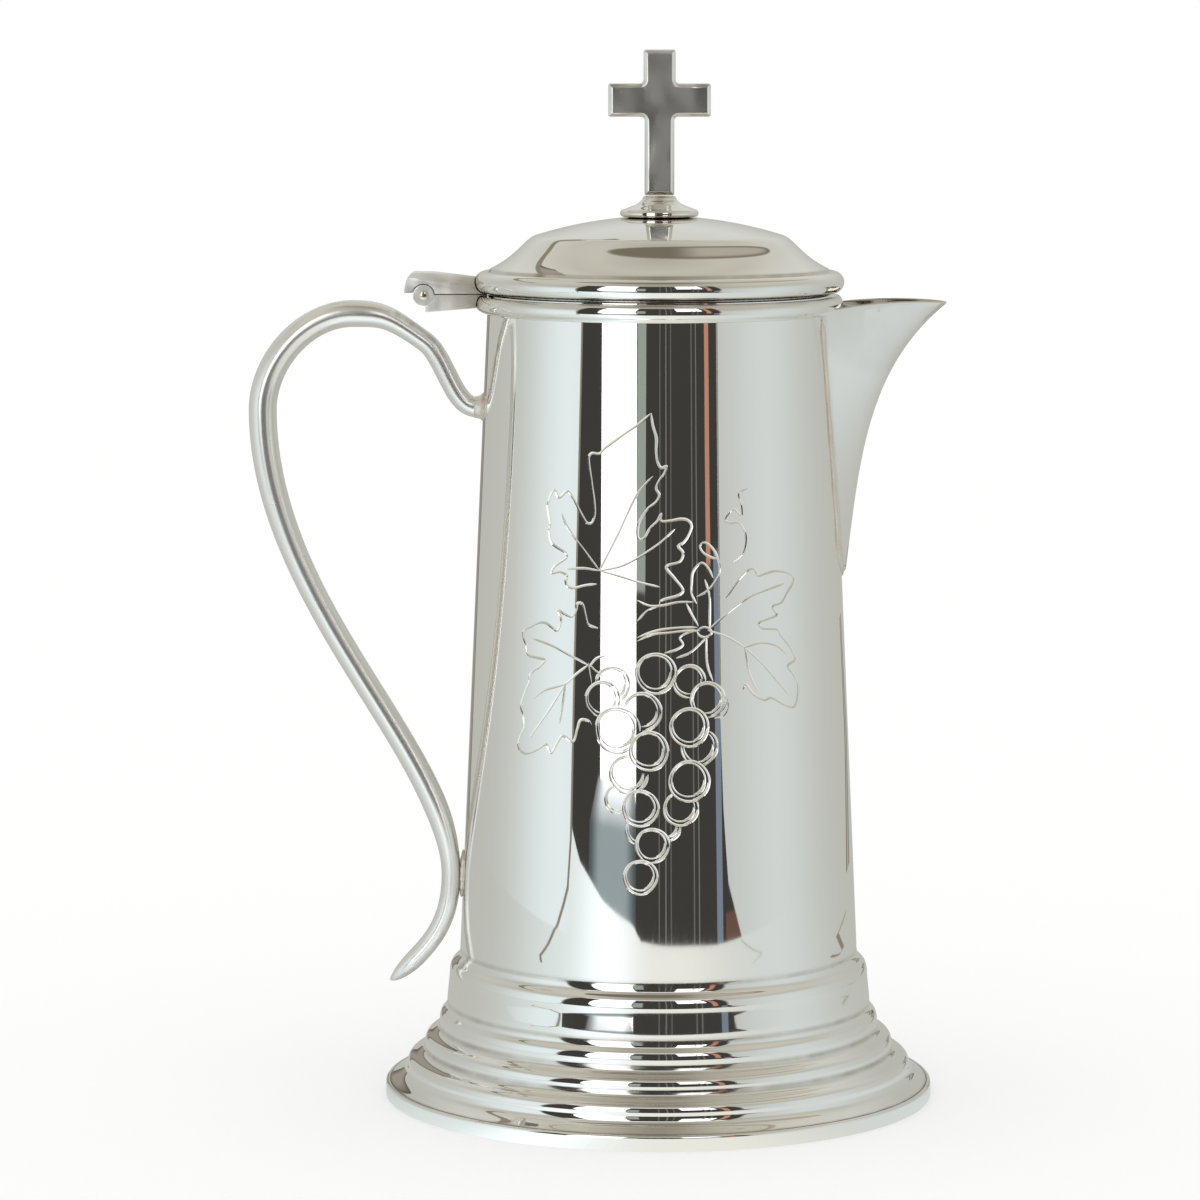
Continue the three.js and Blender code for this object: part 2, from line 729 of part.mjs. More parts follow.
// Bezel: the collar under the lid that drops into the mouth and keeps the lid square.
function makeBezel() {
  const outer = drumTopRadius - drumWall - bezelClearance;
  const inner = outer - bezelWall;
  const low = drumTop - bezelDepth;
  const high = lipBeadHeight + lipBeadRadius - bezelTopDrop;
  return turned([
    new THREE.Vector2(inner, low),
    new THREE.Vector2(outer, low),
    new THREE.Vector2(outer, high),
    new THREE.Vector2(inner, high + 0.6 * bezelWall),
    new THREE.Vector2(inner, low),
  ]);
}

// Collar: the turned cone with a rounded edge that the cross stands on.
function makeCollar() {
  const base = domeHeightAt(0) + seatGap;
  const top = base + collarHeight;
  const edgeBase = domeHeightAt(collarRadius) + seatGap;
  const edgeHalf = collarEdgeHeight / 2;
  const bore = studRadius + seatGap;
  return turned([
    new THREE.Vector2(bore, base),
    new THREE.Vector2(0.6 * collarRadius, domeHeightAt(0.6 * collarRadius) + seatGap),
    ...arcPoints(collarRadius - edgeHalf, edgeBase + edgeHalf, edgeHalf, -75, 75, 5),
    new THREE.Vector2(0.65 * collarRadius, base + 0.5 * collarHeight),
    new THREE.Vector2(collarTopRadius, base + 0.92 * collarHeight),
    new THREE.Vector2(0.9 * collarTopRadius, top),
    new THREE.Vector2(bore, top),
    new THREE.Vector2(bore, base),
  ], 1.5 * smallSegments);
}

// Cross: a plain Latin cross with bevelled edges and soft inner corners.
function makeCross() {
  const base = lidTop + collarHeight + 2 * seatGap;
  const top = base + crossHeight;
  const armTop = top - crossArmDrop;
  const armFoot = armTop - crossArmHeight;
  const head = crossHeadWidth / 2 - crossBevel;
  const stem = crossStemWidth / 2 - crossBevel;
  const span = crossSpan / 2 - crossBevel;
  const soft = crossInnerRound;
  const outline = new THREE.Shape();
  outline.moveTo(-stem, base + crossBevel);
  outline.lineTo(stem, base + crossBevel);
  outline.lineTo(stem, armFoot + crossBevel - soft);
  outline.quadraticCurveTo(stem, armFoot + crossBevel, stem + soft, armFoot + crossBevel);
  outline.lineTo(span, armFoot + crossBevel);
  outline.lineTo(span, armTop - crossBevel);
  outline.lineTo(head + soft, armTop - crossBevel);
  outline.quadraticCurveTo(head, armTop - crossBevel, head, armTop - crossBevel + soft);
  outline.lineTo(head, top - crossBevel);
  outline.lineTo(-head, top - crossBevel);
  outline.lineTo(-head, armTop - crossBevel + soft);
  outline.quadraticCurveTo(-head, armTop - crossBevel, -head - soft, armTop - crossBevel);
  outline.lineTo(-span, armTop - crossBevel);
  outline.lineTo(-span, armFoot + crossBevel);
  outline.lineTo(-stem - soft, armFoot + crossBevel);
  outline.quadraticCurveTo(-stem, armFoot + crossBevel, -stem, armFoot + crossBevel - soft);
  outline.closePath();
  const geometry = new THREE.ExtrudeGeometry(outline, {
    depth: crossThickness - 2 * crossBevel,
    bevelEnabled: true,
    bevelSize: crossBevel,
    bevelThickness: crossBevel,
    bevelSegments: 2,
    curveSegments: 3,
  });
  geometry.rotateX(Math.PI / 2);
  geometry.translate(0, crossThickness / 2 - crossBevel, 0);
  return solidFrom(mergeVertices(geometry, 1e-5));
}

// Stud: the threaded rod from the foot of the cross down through the collar and the dome.
function makeStud() {
  const top = lidTop + seatGap + collarHeight;
  return turnedPlug(studRadius, top - studLength, top, smallSegments);
}

// Washer under the dome.
function makeWasher() {
  const top = lidCavityTop - washerRadius ** 2 / (2 * lidDomeSphere) - seatGap;
  const boreRadius = studRadius + seatGap;
  const bore = turnedPlug(boreRadius, top - 2 * washerThickness, top + washerThickness, smallSegments);
  return turnedPlug(washerRadius, top - washerThickness, top, smallSegments).subtract(bore);
}

// Nut under the washer.
function makeNut() {
  const top = lidCavityTop - washerRadius ** 2 / (2 * lidDomeSphere) - washerThickness - 2 * seatGap;
  const across = nutAcrossFlats / Math.sqrt(3);
  const boreRadius = studRadius + seatGap;
  const bore = turnedPlug(boreRadius, top - 2 * nutThickness, top + nutThickness, smallSegments);
  return turnedPlug(across, top - nutThickness, top, 6).subtract(bore);
}

// Hinge leaf on the drum: a wedge soldered to the mouth ring, with a knuckle at each side.
function makeBodyLeaf() {
  const end = bodyLeafSetback - pinReach;
  const ringSide = mouthRingDepth - mouthRingRadius;
  const outline = new THREE.Shape();
  outline.moveTo(end, pinHeight - bodyLeafDepth);
  outline.lineTo(ringSide, pinHeight - bodyLeafDepth + bodyLeafTaper);
  outline.lineTo(ringSide, pinHeight + leafJointRise);
  outline.lineTo(end, pinHeight + leafJointRise);
  outline.closePath();
  const half = hingeWidth / 2;
  const slotHalf = lidKnuckleWidth / 2 + seatGap;
  return sideCut(outline, -half, half)
    .add(crossRod(-pinReach, pinHeight, knuckleRadius, -half, half))
    .subtract(crossRod(-pinReach, pinHeight, knuckleRadius + knuckleClearance, -slotHalf, slotHalf))
    .subtract(crossRod(-pinReach, pinHeight, pinRadius + seatGap, -hingeWidth, hingeWidth))
    .subtract(mouthRingSpace(seatGap));
}

// Hinge leaf on the lid: a cap over the knuckles with a turned down end, which is also the
// stop that meets the other leaf when the lid stands open.
function makeLidLeaf() {
  const half = hingeWidth / 2;
  const knuckleHalf = lidKnuckleWidth / 2;
  const lipSide = pinReach - lipBeadCentre;
  const ridgeHalf = lidLeafRidgeLength / 2;
  const underside = leafJointRise + seatGap;
  const at = (x, z) => [x - pinReach, pinHeight + z];
  const outline = new THREE.Shape();
  outline.moveTo(...at(-lidLeafOverhang, lidLeafEndRise));
  outline.lineTo(...at(-knuckleRadius, lidLeafEndRise));
  outline.lineTo(...at(0, underside));
  outline.lineTo(...at(lipSide, underside));
  outline.lineTo(...at(lipSide, lidLeafHeight - lidLeafFall));
  outline.lineTo(...at(ridgeHalf, lidLeafHeight));
  outline.lineTo(...at(-ridgeHalf, lidLeafHeight));
  outline.quadraticCurveTo(
    ...at(-0.9 * lidLeafOverhang, 0.95 * lidLeafHeight),
    ...at(-lidLeafOverhang, 2 * lidLeafEndRise),
  );
  outline.closePath();

  const ridge = new THREE.Shape();
  ridge.moveTo(-half, -3 * lidLeafHeight);
  ridge.lineTo(half, -3 * lidLeafHeight);
  ridge.lineTo(half, -lidLeafChamfer);
  ridge.lineTo(half - lidLeafChamfer, 0);
  ridge.lineTo(lidLeafChamfer - half, 0);
  ridge.lineTo(-half, -lidLeafChamfer);
  ridge.closePath();
  const slope = THREE.MathUtils.radToDeg(Math.atan2(lidLeafFall, lipSide - ridgeHalf));
  const roof = crossCut(ridge, -3 * lidLeafOverhang, 2 * lipSide)
    .rotate([0, slope, 0])
    .translate([ridgeHalf - pinReach, 0, pinHeight + lidLeafHeight]);

  return sideCut(outline, -half, half)
    .intersect(roof)
    .subtract(crossRod(-pinReach, pinHeight, knuckleRadius + knuckleClearance, -2 * half, -knuckleHalf))
    .subtract(crossRod(-pinReach, pinHeight, knuckleRadius + knuckleClearance, knuckleHalf, 2 * half))
    .add(crossRod(-pinReach, pinHeight, knuckleRadius, -knuckleHalf, knuckleHalf))
    .subtract(crossRod(-pinReach, pinHeight, pinRadius + seatGap, -hingeWidth, hingeWidth))
    .subtract(lipSpace(seatGap));
}

// Hinge pin with a low riveted head at each end.
function makePin() {
  const end = hingeWidth / 2 + seatGap;
  const profile = [
    new THREE.Vector2(0, -end - pinHeadHeight),
    new THREE.Vector2(0.6 * pinHeadRadius, -end - 0.85 * pinHeadHeight),
    new THREE.Vector2(pinHeadRadius, -end - 0.2 * pinHeadHeight),
    new THREE.Vector2(pinHeadRadius, -end),
    new THREE.Vector2(pinRadius, -end),
    new THREE.Vector2(pinRadius, end),
    new THREE.Vector2(pinHeadRadius, end),
    new THREE.Vector2(pinHeadRadius, end + 0.2 * pinHeadHeight),
    new THREE.Vector2(0.6 * pinHeadRadius, end + 0.85 * pinHeadHeight),
    new THREE.Vector2(0, end + pinHeadHeight),
  ];
  return turned(profile, smallSegments)
    .rotate([90, 0, 0])
    .translate([-pinReach, 0, pinHeight]);
}

const vessel = new THREE.Group();
vessel.add(
  part('foot_rim', makeFootRim(), platedSilver),
  part('foot_shell', makeFootShell(), platedSilver),
  part('drum', makeDrum(), platedSilver),
  part('drum_floor', makeFloor(), platedInside),
  part('mouth_ring', makeMouthRing(), platedSilver),
  part('spout', makeSpout(), platedSilver),
  part('handle', handleBar(0), platedSilver),
  part('handle_root_boss', makeRootBoss(), platedSilver),
  part('handle_touch_pad', makeTouchPad(), platedSilver),
  part('hinge_body_leaf', makeBodyLeaf(), platedSilver),
  part('hinge_pin', makePin(), platedSilver),
);

const lid = new THREE.Group();
lid.add(
  part('lid_shell', makeLidShell(), platedSilver),
  part('lid_bezel', makeBezel(), platedInside),
  part('hinge_lid_leaf', makeLidLeaf(), platedSilver),
  part('finial_collar', makeCollar(), platedSilver),
  part('finial_cross', makeCross(), platedSilver),
  part('finial_stud', makeStud(), brassHardware),
  part('finial_washer', makeWasher(), brassHardware),
  part('finial_nut', makeNut(), brassHardware),
);

// The handle reaches further than the spout, so the drum's axis stands off the middle of the box.
const flagon = new THREE.Group();
flagon.add(vessel, lid);
flagon.position.x = (handleBackReach + handleBackThickness / 2 - spoutTipReach) / 2;

export default flagon;
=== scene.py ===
"""Looks of the communion flagon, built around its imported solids.

Sizes are in millimetres, measured from the drum's own axis and from the table, as in the
part's source. Meshes are written in metres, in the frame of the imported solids.
"""

import logging
import math
from dataclasses import dataclass
from enum import Enum
from typing import Iterable, Sequence

import bmesh
import bpy
import numpy as np
from bpy.types import Material, Node, NodeSocket, NodeTree, Object
from mathutils import Matrix, Vector
from mathutils.geometry import delaunay_2d_cdt


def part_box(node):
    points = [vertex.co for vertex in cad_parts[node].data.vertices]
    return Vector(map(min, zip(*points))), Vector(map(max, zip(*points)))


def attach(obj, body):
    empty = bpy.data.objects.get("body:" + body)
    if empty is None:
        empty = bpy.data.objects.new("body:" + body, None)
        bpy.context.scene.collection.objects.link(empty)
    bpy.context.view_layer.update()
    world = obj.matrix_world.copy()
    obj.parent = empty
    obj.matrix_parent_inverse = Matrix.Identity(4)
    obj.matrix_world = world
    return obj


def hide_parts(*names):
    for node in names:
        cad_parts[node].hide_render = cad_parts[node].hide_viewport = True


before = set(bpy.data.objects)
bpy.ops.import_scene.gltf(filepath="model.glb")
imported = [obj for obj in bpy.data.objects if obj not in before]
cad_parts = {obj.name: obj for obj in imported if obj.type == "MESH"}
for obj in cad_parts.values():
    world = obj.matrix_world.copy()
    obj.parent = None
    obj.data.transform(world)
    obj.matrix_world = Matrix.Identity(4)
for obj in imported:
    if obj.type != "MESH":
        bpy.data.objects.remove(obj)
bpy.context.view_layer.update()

logging.basicConfig(level=logging.INFO, format="%(message)s")
log = logging.getLogger("flagon")

Point = tuple[float, float]
Triple = tuple[float, float, float]

MM = 0.001
DRUM_LOW, DRUM_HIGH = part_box("drum")
AXIS_X = (DRUM_LOW.x + DRUM_HIGH.x) / 2
SEAT_GAP = 0.3
WELD = 1e-6
TURN_SEGMENTS = 256


class Body(Enum):
    """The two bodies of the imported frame."""

    VESSEL = "vessel"
    LID = "lid"


class Slot(Enum):
    """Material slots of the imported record."""

    PLATE = "silver_plate"
    CAST = "silver_cast"
    INSIDE = "silver_inside"
    SOLDER = "solder"
    PIN = "hinge_pin_metal"
    BRASS = "brass_hardware"


# Lines and profiles


def lerp(a: float, b: float, share: float) -> float:
    """The value a share of the way from a to b."""
    return a + (b - a) * share


def smoothstep(value: float, low: float, high: float) -> float:
    """An eased step from 0 at low to 1 at high."""
    share = min(max((value - low) / (high - low), 0.0), 1.0)
    return share * share * (3 - 2 * share)


def unit(vectors: np.ndarray) -> np.ndarray:
    """A vector, or each row of an array, at length 1."""
    lengths = np.linalg.norm(vectors) if vectors.ndim == 1 else np.linalg.norm(vectors, axis=1)[:, None]
    return vectors / lengths


def cubic_at(controls: Sequence[Sequence[float]], share: float) -> np.ndarray:
    """A point on a cubic curve, from its start, two pulls and end, in any number of dimensions."""
    (a, b, c, d), rest = np.asarray(controls, float), 1 - share
    return rest**3 * a + 3 * rest**2 * share * b + 3 * rest * share**2 * c + share**3 * d


def cubic_heading(controls: Sequence[Sequence[float]], share: float) -> np.ndarray:
    """The unit tangent of such a curve at a share of the way along it."""
    (a, b, c, d), rest = np.asarray(controls, float), 1 - share
    return unit(rest**2 * (b - a) + 2 * rest * share * (c - b) + share**2 * (d - c))


def cubic(start: Point, pull: Point, end_pull: Point, end: Point, steps: int) -> list[Point]:
    """Points of a cubic curve in a profile, without its first point."""
    return [tuple(cubic_at((start, pull, end_pull, end), i / steps)) for i in range(1, steps + 1)]


def ogee(low: Point, high: Point, steps: int) -> list[Point]:
    """An ogee between two upright stretches of a turned profile, without its first point."""
    pull = 0.7 * (high[1] - low[1])
    return cubic(low, (low[0], low[1] + pull), (high[0], high[1] - pull), high, steps)


def arc(centre: Point, radius: float, start: float, end: float, steps: int) -> list[Point]:
    """Points of an arc in a profile, from one angle to another in degrees."""
    angles = np.radians(np.linspace(start, end, steps + 1))
    return [(centre[0] + radius * math.cos(a), centre[1] + radius * math.sin(a)) for a in angles]


def sheet(outside: Sequence[Point], wall: float) -> list[Point]:
    """The closed profile of a sheet of metal.

    Args:
        outside: The line of its outside, which runs upwards.
        wall: Its thickness.

    Returns:
        The outside, and the same line moved inwards with mitred corners.
    """
    line = np.asarray(outside, float)
    steps = unit(np.diff(line, axis=0))
    into, out = np.vstack([steps[:1], steps]), np.vstack([steps, steps[-1:]])
    middle = unit(into + out)
    reach = wall / np.maximum((middle * into).sum(1), 0.5)
    inside = line + np.stack([-middle[:, 1], middle[:, 0]], 1) * reach[:, None]
    return [*outside, *(tuple(point) for point in inside[::-1]), outside[0]]


def softened(points: Sequence[Point], radius: float) -> list[Point]:
    """A closed profile whose sharp corners are rounded.

    Args:
        points: The outline, with its first point repeated at the end, or both ends on the axis.
        radius: Radius of the rounding, less where a corner has no room for it.

    Returns:
        The outline with small arcs, and a guard point beside each one, so that the flat stretches
        next to it shade flat.
    """
    least_turn = 12.0
    line = [np.asarray(point, float) for point in points]
    closed = np.linalg.norm(line[0] - line[-1]) < WELD
    ring = line[:-1] if closed else line
    made: list[Point] = []
    for i, corner in enumerate(ring):
        before, after = ring[i - 1] - corner, ring[(i + 1) % len(ring)] - corner
        room = min(np.linalg.norm(before), np.linalg.norm(after)) * 0.45
        before, after = unit(before), unit(after)
        turn = math.pi - math.acos(np.clip(before @ after, -1, 1))
        if math.degrees(turn) < least_turn or not closed and i in (0, len(ring) - 1):
            made.append(tuple(corner))
            continue
        reach = min(radius * math.tan(turn / 2), room)
        guard = min(1.8 * reach, room * 1.1)
        start, end = corner + before * reach, corner + after * reach
        bend = [(1 - s) ** 2 * start + 2 * s * (1 - s) * corner + s**2 * end for s in np.linspace(0, 1, 6)]
        made += [tuple(point) for point in (corner + before * guard, *bend, corner + after * guard)]
    return [*made, made[0]] if closed else made


def refined(points: Sequence[Point], longest: float) -> list[Point]:
    """The same line with points added.

    Args:
        points: The line.
        longest: Greatest length of a stretch.

    Returns:
        The line.
    """
    made = [points[0]]
    for start, end in zip(points, points[1:]):
        count = max(1, math.ceil(math.dist(start, end) / longest))
        shares = [i / count for i in range(1, count + 1)]
        made += [(lerp(start[0], end[0], share), lerp(start[1], end[1], share)) for share in shares]
    return made


@dataclass(frozen=True)
class DrumShape:
    """The tapered wall that everything else is set out from."""

    base: float = 46.3
    height: float = 200.1
    bottom_radius: float = 61.0
    top_radius: float = 52.0
    wall: float = 1.2

    @property
    def top(self) -> float:
        """Height of the mouth."""
        return self.base + self.height

    @property
    def taper(self) -> float:
        """How much the radius grows per millimetre downwards."""
        return (self.bottom_radius - self.top_radius) / self.height

    def radius_at(self, height: float) -> float:
        """Outer radius at a height."""
        return self.top_radius + (self.top - height) * self.taper


DRUM = DrumShape()


# Meshes and node trees


def placed(points: Iterable[Sequence[float]]) -> np.ndarray:
    """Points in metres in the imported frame.

    Args:
        points: Places in millimetres about the drum's axis.

    Returns:
        The same places.
    """
    made = np.asarray(list(points), float) * MM
    made[:, 0] += AXIS_X
    return made


def grid_faces(rows: int, columns: int, closed: bool = False) -> list[list[int]]:
    """Faces over rows of points, numbered row by row.

    Args:
        rows: How many rows.
        columns: Points in each.
        closed: Whether a row joins its start.

    Returns:
        The faces.
    """
    made = []
    for low, high in zip(range(0, rows * columns, columns), range(columns, rows * columns, columns)):
        for i in range(columns if closed else columns - 1):
            j = (i + 1) % columns
            made.append([low + i, low + j, high + j, high + i])
    return made


def mesh_object(name: str, points: np.ndarray, faces: Sequence[Sequence[int]], smooth: bool = True) -> Object:
    """An object at the origin.

    Args:
        name: Its name.
        points: Vertices, in metres.
        faces: Faces, or an empty list for loose points.
        smooth: Whether it shades smoothly.

    Returns:
        The linked object.
    """
    mesh = bpy.data.meshes.new(name)
    mesh.from_pydata([tuple(point) for point in points], [], [list(face) for face in faces])
    mesh.update()
    if smooth:
        mesh.shade_smooth()
    made = bpy.data.objects.new(name, mesh)
    bpy.context.scene.collection.objects.link(made)
    return made


def store(made: Object, name: str, values: Sequence) -> None:
    """Stores a number or a vector for each vertex.

    Args:
        made: Mesh object.
        name: Name to store them by.
        values: One for each vertex.
    """
    array = np.asarray(values, np.float32)
    kind, field = ("FLOAT", "value") if array.ndim == 1 else ("FLOAT_VECTOR", "vector")
    made.data.attributes.new(name, kind, "POINT").data.foreach_set(field, array.ravel())


def settled(made: Object, modifier: bpy.types.Modifier) -> Object:
    """Turns what a modifier makes of an object into its plain mesh.

    Args:
        made: The object.
        modifier: Its modifier, which is removed.

    Returns:
        The same object.
    """
    bpy.context.view_layer.update()
    old = made.data
    mesh = bpy.data.meshes.new_from_object(made.evaluated_get(bpy.context.evaluated_depsgraph_get()))
    made.modifiers.remove(modifier)
    made.data = mesh
    bpy.data.meshes.remove(old)
    mesh.name = made.name
    return made


class Tree:
    """A small builder of node trees."""

    def __init__(self, tree: NodeTree) -> None:
        """Works on a tree."""
        self.tree = tree

    def feed(self, socket: NodeSocket, value: object) -> None:
        """Links a socket to another one, or sets it to a value.

        Args:
            socket: Input socket.
            value: Another socket, or a plain value.
        """
        if isinstance(value, NodeSocket):
            self.tree.links.new(value, socket)
        else:
            socket.default_value = value

    def add(self, kind: str, inputs: dict | None = None, **settings: object) -> Node:
        """Adds a node.

        Args:
            kind: Blender's type of node.
            inputs: Values or sources of its sockets, by name or number.
            **settings: Its properties.

        Returns:
            The node.
        """
        node = self.tree.nodes.new(kind)
        for key, value in settings.items():
            setattr(node, key, value)
        for key, value in (inputs or {}).items():
            self.feed(node.inputs[key], value)
        return node

    def math(self, operation: str, a: object, b: object = 0.0) -> NodeSocket:
        """The output of a Math node on numbers or sockets."""
        return self.add("ShaderNodeMath", {0: a, 1: b}, operation=operation).outputs[0]


def new_group(name: str, kind: str, inputs: Sequence[Sequence], outputs: Sequence[Sequence]) -> NodeTree:
    """A node group with named sockets.

    Args:
        name: Its name.
        kind: Blender's type of tree.
        inputs: Name and type of each input, and its default if it has one.
        outputs: Name and type of each output.

    Returns:
        The group.
    """
    group = bpy.data.node_groups.new(name, kind)
    for side, sockets in (("INPUT", inputs), ("OUTPUT", outputs)):
        for title, socket_type, *default in sockets:
            socket = group.interface.new_socket(title, in_out=side, socket_type=f"NodeSocket{socket_type}")
            if default:
                socket.default_value = default[0]
    return group


class SectionForm:
    """The Geometry Nodes tree of every turned or swept piece: oval sections along a path.

    The points of its object are the path. Each stores the two half axes of its section, as rise
    and spread, and how much tarnish and painted shade it gets, as crevice.
    """

    name = "section_form"

    def __init__(self) -> None:
        """Builds the tree: a grid over path points and sides, which is bent to its place and closed."""
        asked = (("Path", "Geometry"), ("Sides", "Int"), ("Finish", "Material"))
        self.group = new_group(self.name, "GeometryNodeTree", asked, [("Geometry", "Geometry")])
        tree = Tree(self.group)
        path, sides, finish = tree.add("NodeGroupInput").outputs[:3]
        count = tree.add(
            "GeometryNodeAttributeDomainSize", {0: path}, component="MESH"
        ).outputs["Point Count"]
        columns = tree.math("ADD", sides, 1.0)
        made = tree.add("GeometryNodeMeshGrid", {"Vertices X": count, "Vertices Y": columns}).outputs["Mesh"]
        index = tree.add("GeometryNodeInputIndex").outputs[0]
        row = tree.math("FLOOR", tree.math("DIVIDE", tree.math("ADD", index, 0.5), columns))
        column = tree.math("SUBTRACT", index, tree.math("MULTIPLY", row, columns))
        angle = tree.math("MULTIPLY", tree.math("DIVIDE", column, sides), 2 * math.pi)

        def sampled(value: NodeSocket, kind: str) -> NodeSocket:
            """A value of the path point that a grid point belongs to."""
            sources = {"Geometry": path, "Value": value, "Index": row}
            return tree.add("GeometryNodeSampleIndex", sources, data_type=kind, domain="POINT").outputs[0]

        def stored(title: str, kind: str) -> NodeSocket:
            """A stored value of that path point."""
            node = tree.add("GeometryNodeInputNamedAttribute", {"Name": title}, data_type=kind)
            return sampled(node.outputs[0], kind)

        place = sampled(tree.add("GeometryNodeInputPosition").outputs[0], "FLOAT_VECTOR")
        for title, turn in (("rise", "COSINE"), ("spread", "SINE")):
            axis = {0: stored(title, "FLOAT_VECTOR"), "Scale": tree.math(turn, angle)}
            scaled = tree.add("ShaderNodeVectorMath", axis, operation="SCALE").outputs[0]
            place = tree.add("ShaderNodeVectorMath", {0: place, 1: scaled}, operation="ADD").outputs[0]
        for kind, inputs in (
            ("SetPosition", {"Position": place}),
            ("StoreNamedAttribute", {"Name": "crevice", "Value": stored("crevice", "FLOAT")}),
            ("MergeByDistance", {"Distance": WELD}), ("FlipFaces", {}), ("SetShadeSmooth", {}),
            ("RealizeInstances", {}), ("SetMaterial", {"Material": finish})
        ):
            made = tree.add(f"GeometryNode{kind}", {0: made, **inputs}).outputs[0]
        tree.add("NodeGroupOutput", {0: made})

    def applied(self, made: Object, sides: int, finish: Material) -> None:
        """Turns an object of path points into its plain finished mesh.

        Args:
            made: The object whose vertices are the path.
            sides: Points round a section.
            finish: Its material.
        """
        modifier = made.modifiers.new(self.name, "NODES")
        modifier.node_group = self.group
        asked = {"Sides": sides, "Finish": finish}
        for socket in self.group.interface.items_tree:
            if socket.in_out == "INPUT" and socket.name in asked:
                modifier[socket.identifier] = asked[socket.name]
        settled(made, modifier)


# Finishes


class ShaderEffect:
    """Base of the shader groups that several finishes share."""

    name = "effect"
    inputs: tuple[tuple[str, str, object], ...] = ()
    outputs: tuple[tuple[str, str], ...] = ()

    def __init__(self) -> None:
        """Builds the group with its named sockets."""
        self.group = new_group(self.name, "ShaderNodeTree", self.inputs, self.outputs)
        self.tree = Tree(self.group)
        source = self.tree.add("NodeGroupInput").outputs
        made, target = self.build(source), self.tree.add("NodeGroupOutput")
        for title, value in made.items():
            self.tree.feed(target.inputs[title], value)

    def build(self, source: bpy.types.bpy_prop_collection) -> dict[str, NodeSocket]:
        """Makes the effect and gives its outputs by name. Each effect has its own."""
        raise NotImplementedError

    def used(self, tree: Tree, **values: object) -> bpy.types.bpy_prop_collection:
        """Adds the effect to a material.

        Args:
            tree: The material's tree.
            **values: Inputs by name, with _ for a space.

        Returns:
            The group node's outputs.
        """
        inputs = {title.replace("_", " "): value for title, value in values.items()}
        return tree.add("ShaderNodeGroup", inputs, node_tree=self.group).outputs

    def noise(self, scale: Triple, detail: float, turn: Triple = (0, 0, 0)) -> NodeSocket:
        """Noise on object coordinates.

        Args:
            scale: Cells per metre along each axis.
            detail: Octaves.
            turn: Turn of the pattern, in radians.

        Returns:
            The socket with its value.
        """
        place = self.tree.add("ShaderNodeTexCoord").outputs["Object"]
        fitted = self.tree.add("ShaderNodeMapping", {"Vector": place, "Scale": scale, "Rotation": turn})
        inputs = {"Vector": fitted.outputs[0], "Scale": 1.0, "Detail": detail}
        return self.tree.add("ShaderNodeTexNoise", inputs).outputs[0]

    def ramp(
        self, value: NodeSocket, low: float, high: float, start: float = 0.0, end: float = 1.0
    ) -> NodeSocket:
        """A value that runs from start to end while another one runs from low to high."""
        return self.tree.add("ShaderNodeMapRange", {0: value, 1: low, 2: high, 3: start, 4: end}).outputs[0]


class PolishMarks(ShaderEffect):
    """Haze left by the polishing cloth, fine wiping lines, and the metal's own slight unevenness."""

    name = "polish_marks"
    inputs = (
        ("Gloss", "Float", 0.05), ("Haze", "Float", 0.03), ("Lines", "Float", 0.02),
        ("Wave Scale", "Float", 1.0)
    )
    outputs = (("Roughness", "Float"), ("Height", "Float"), ("Patches", "Float"))

    def build(self, source: bpy.types.bpy_prop_collection) -> dict[str, NodeSocket]:
        """Haze and lines add to the roughness, and slow waves make the height and the dull patches.

        Args:
            source: The group's inputs.

        Returns:
            The group's outputs.
        """
        tree = self.tree
        haze = self.ramp(self.noise((22, 22, 14), 4.0), 0.42, 0.72)
        lines = self.ramp(self.noise((900, 900, 45), 2.0, (0.35, 0.2, 0.3)), 0.5, 0.75)
        clouded = tree.math("MULTIPLY", haze, source["Haze"])
        drawn = tree.math("MULTIPLY", lines, source["Lines"])
        waves = self.noise((26, 26, 15), 1.0)
        tree.feed(waves.node.inputs["Scale"], source["Wave Scale"])
        rough = tree.math("ADD", tree.math("ADD", clouded, drawn), source["Gloss"])
        return {"Roughness": rough, "Height": waves, "Patches": self.ramp(waves, 0.38, 0.66)}


class TarnishAndPaintedShade(ShaderEffect):
    """Brown tarnish where a cloth doesn't reach, and painted shade in gaps and under beads, where the mesh's
    crevice attribute says.
    """

    name = "tarnish_and_painted_shade"
    inputs = (
        ("Metal", "Color", (0.9, 0.9, 0.9, 1)), ("Tarnish", "Color", (0.3, 0.2, 0.1, 1)),
        ("Amount", "Float", 1.0), ("Dullness", "Float", 0.22)
    )
    outputs = (("Color", "Color"), ("Roughness Rise", "Float"))

    def build(self, source: bpy.types.bpy_prop_collection) -> dict[str, NodeSocket]:
        """Mixes the tarnish and the painted shade in by the stored attribute, broken up by noise.

        Args:
            source: The group's inputs.

        Returns:
            The group's outputs.
        """
        tree = self.tree
        stored = tree.add("ShaderNodeAttribute", attribute_name="crevice").outputs["Fac"]
        share = tree.math(
            "MULTIPLY", stored, self.ramp(self.noise((120, 120, 120), 3.0), 0.3, 0.7, 0.55, 1.15)
        )
        share = tree.math("MULTIPLY", share, source["Amount"])
        inputs = {"Factor": share, 6: source["Metal"], 7: source["Tarnish"]}
        mix = tree.add("ShaderNodeMix", inputs, data_type="RGBA", clamp_factor=True)
        return {"Color": mix.outputs[2], "Roughness Rise": tree.math("MULTIPLY", share, source["Dullness"])}


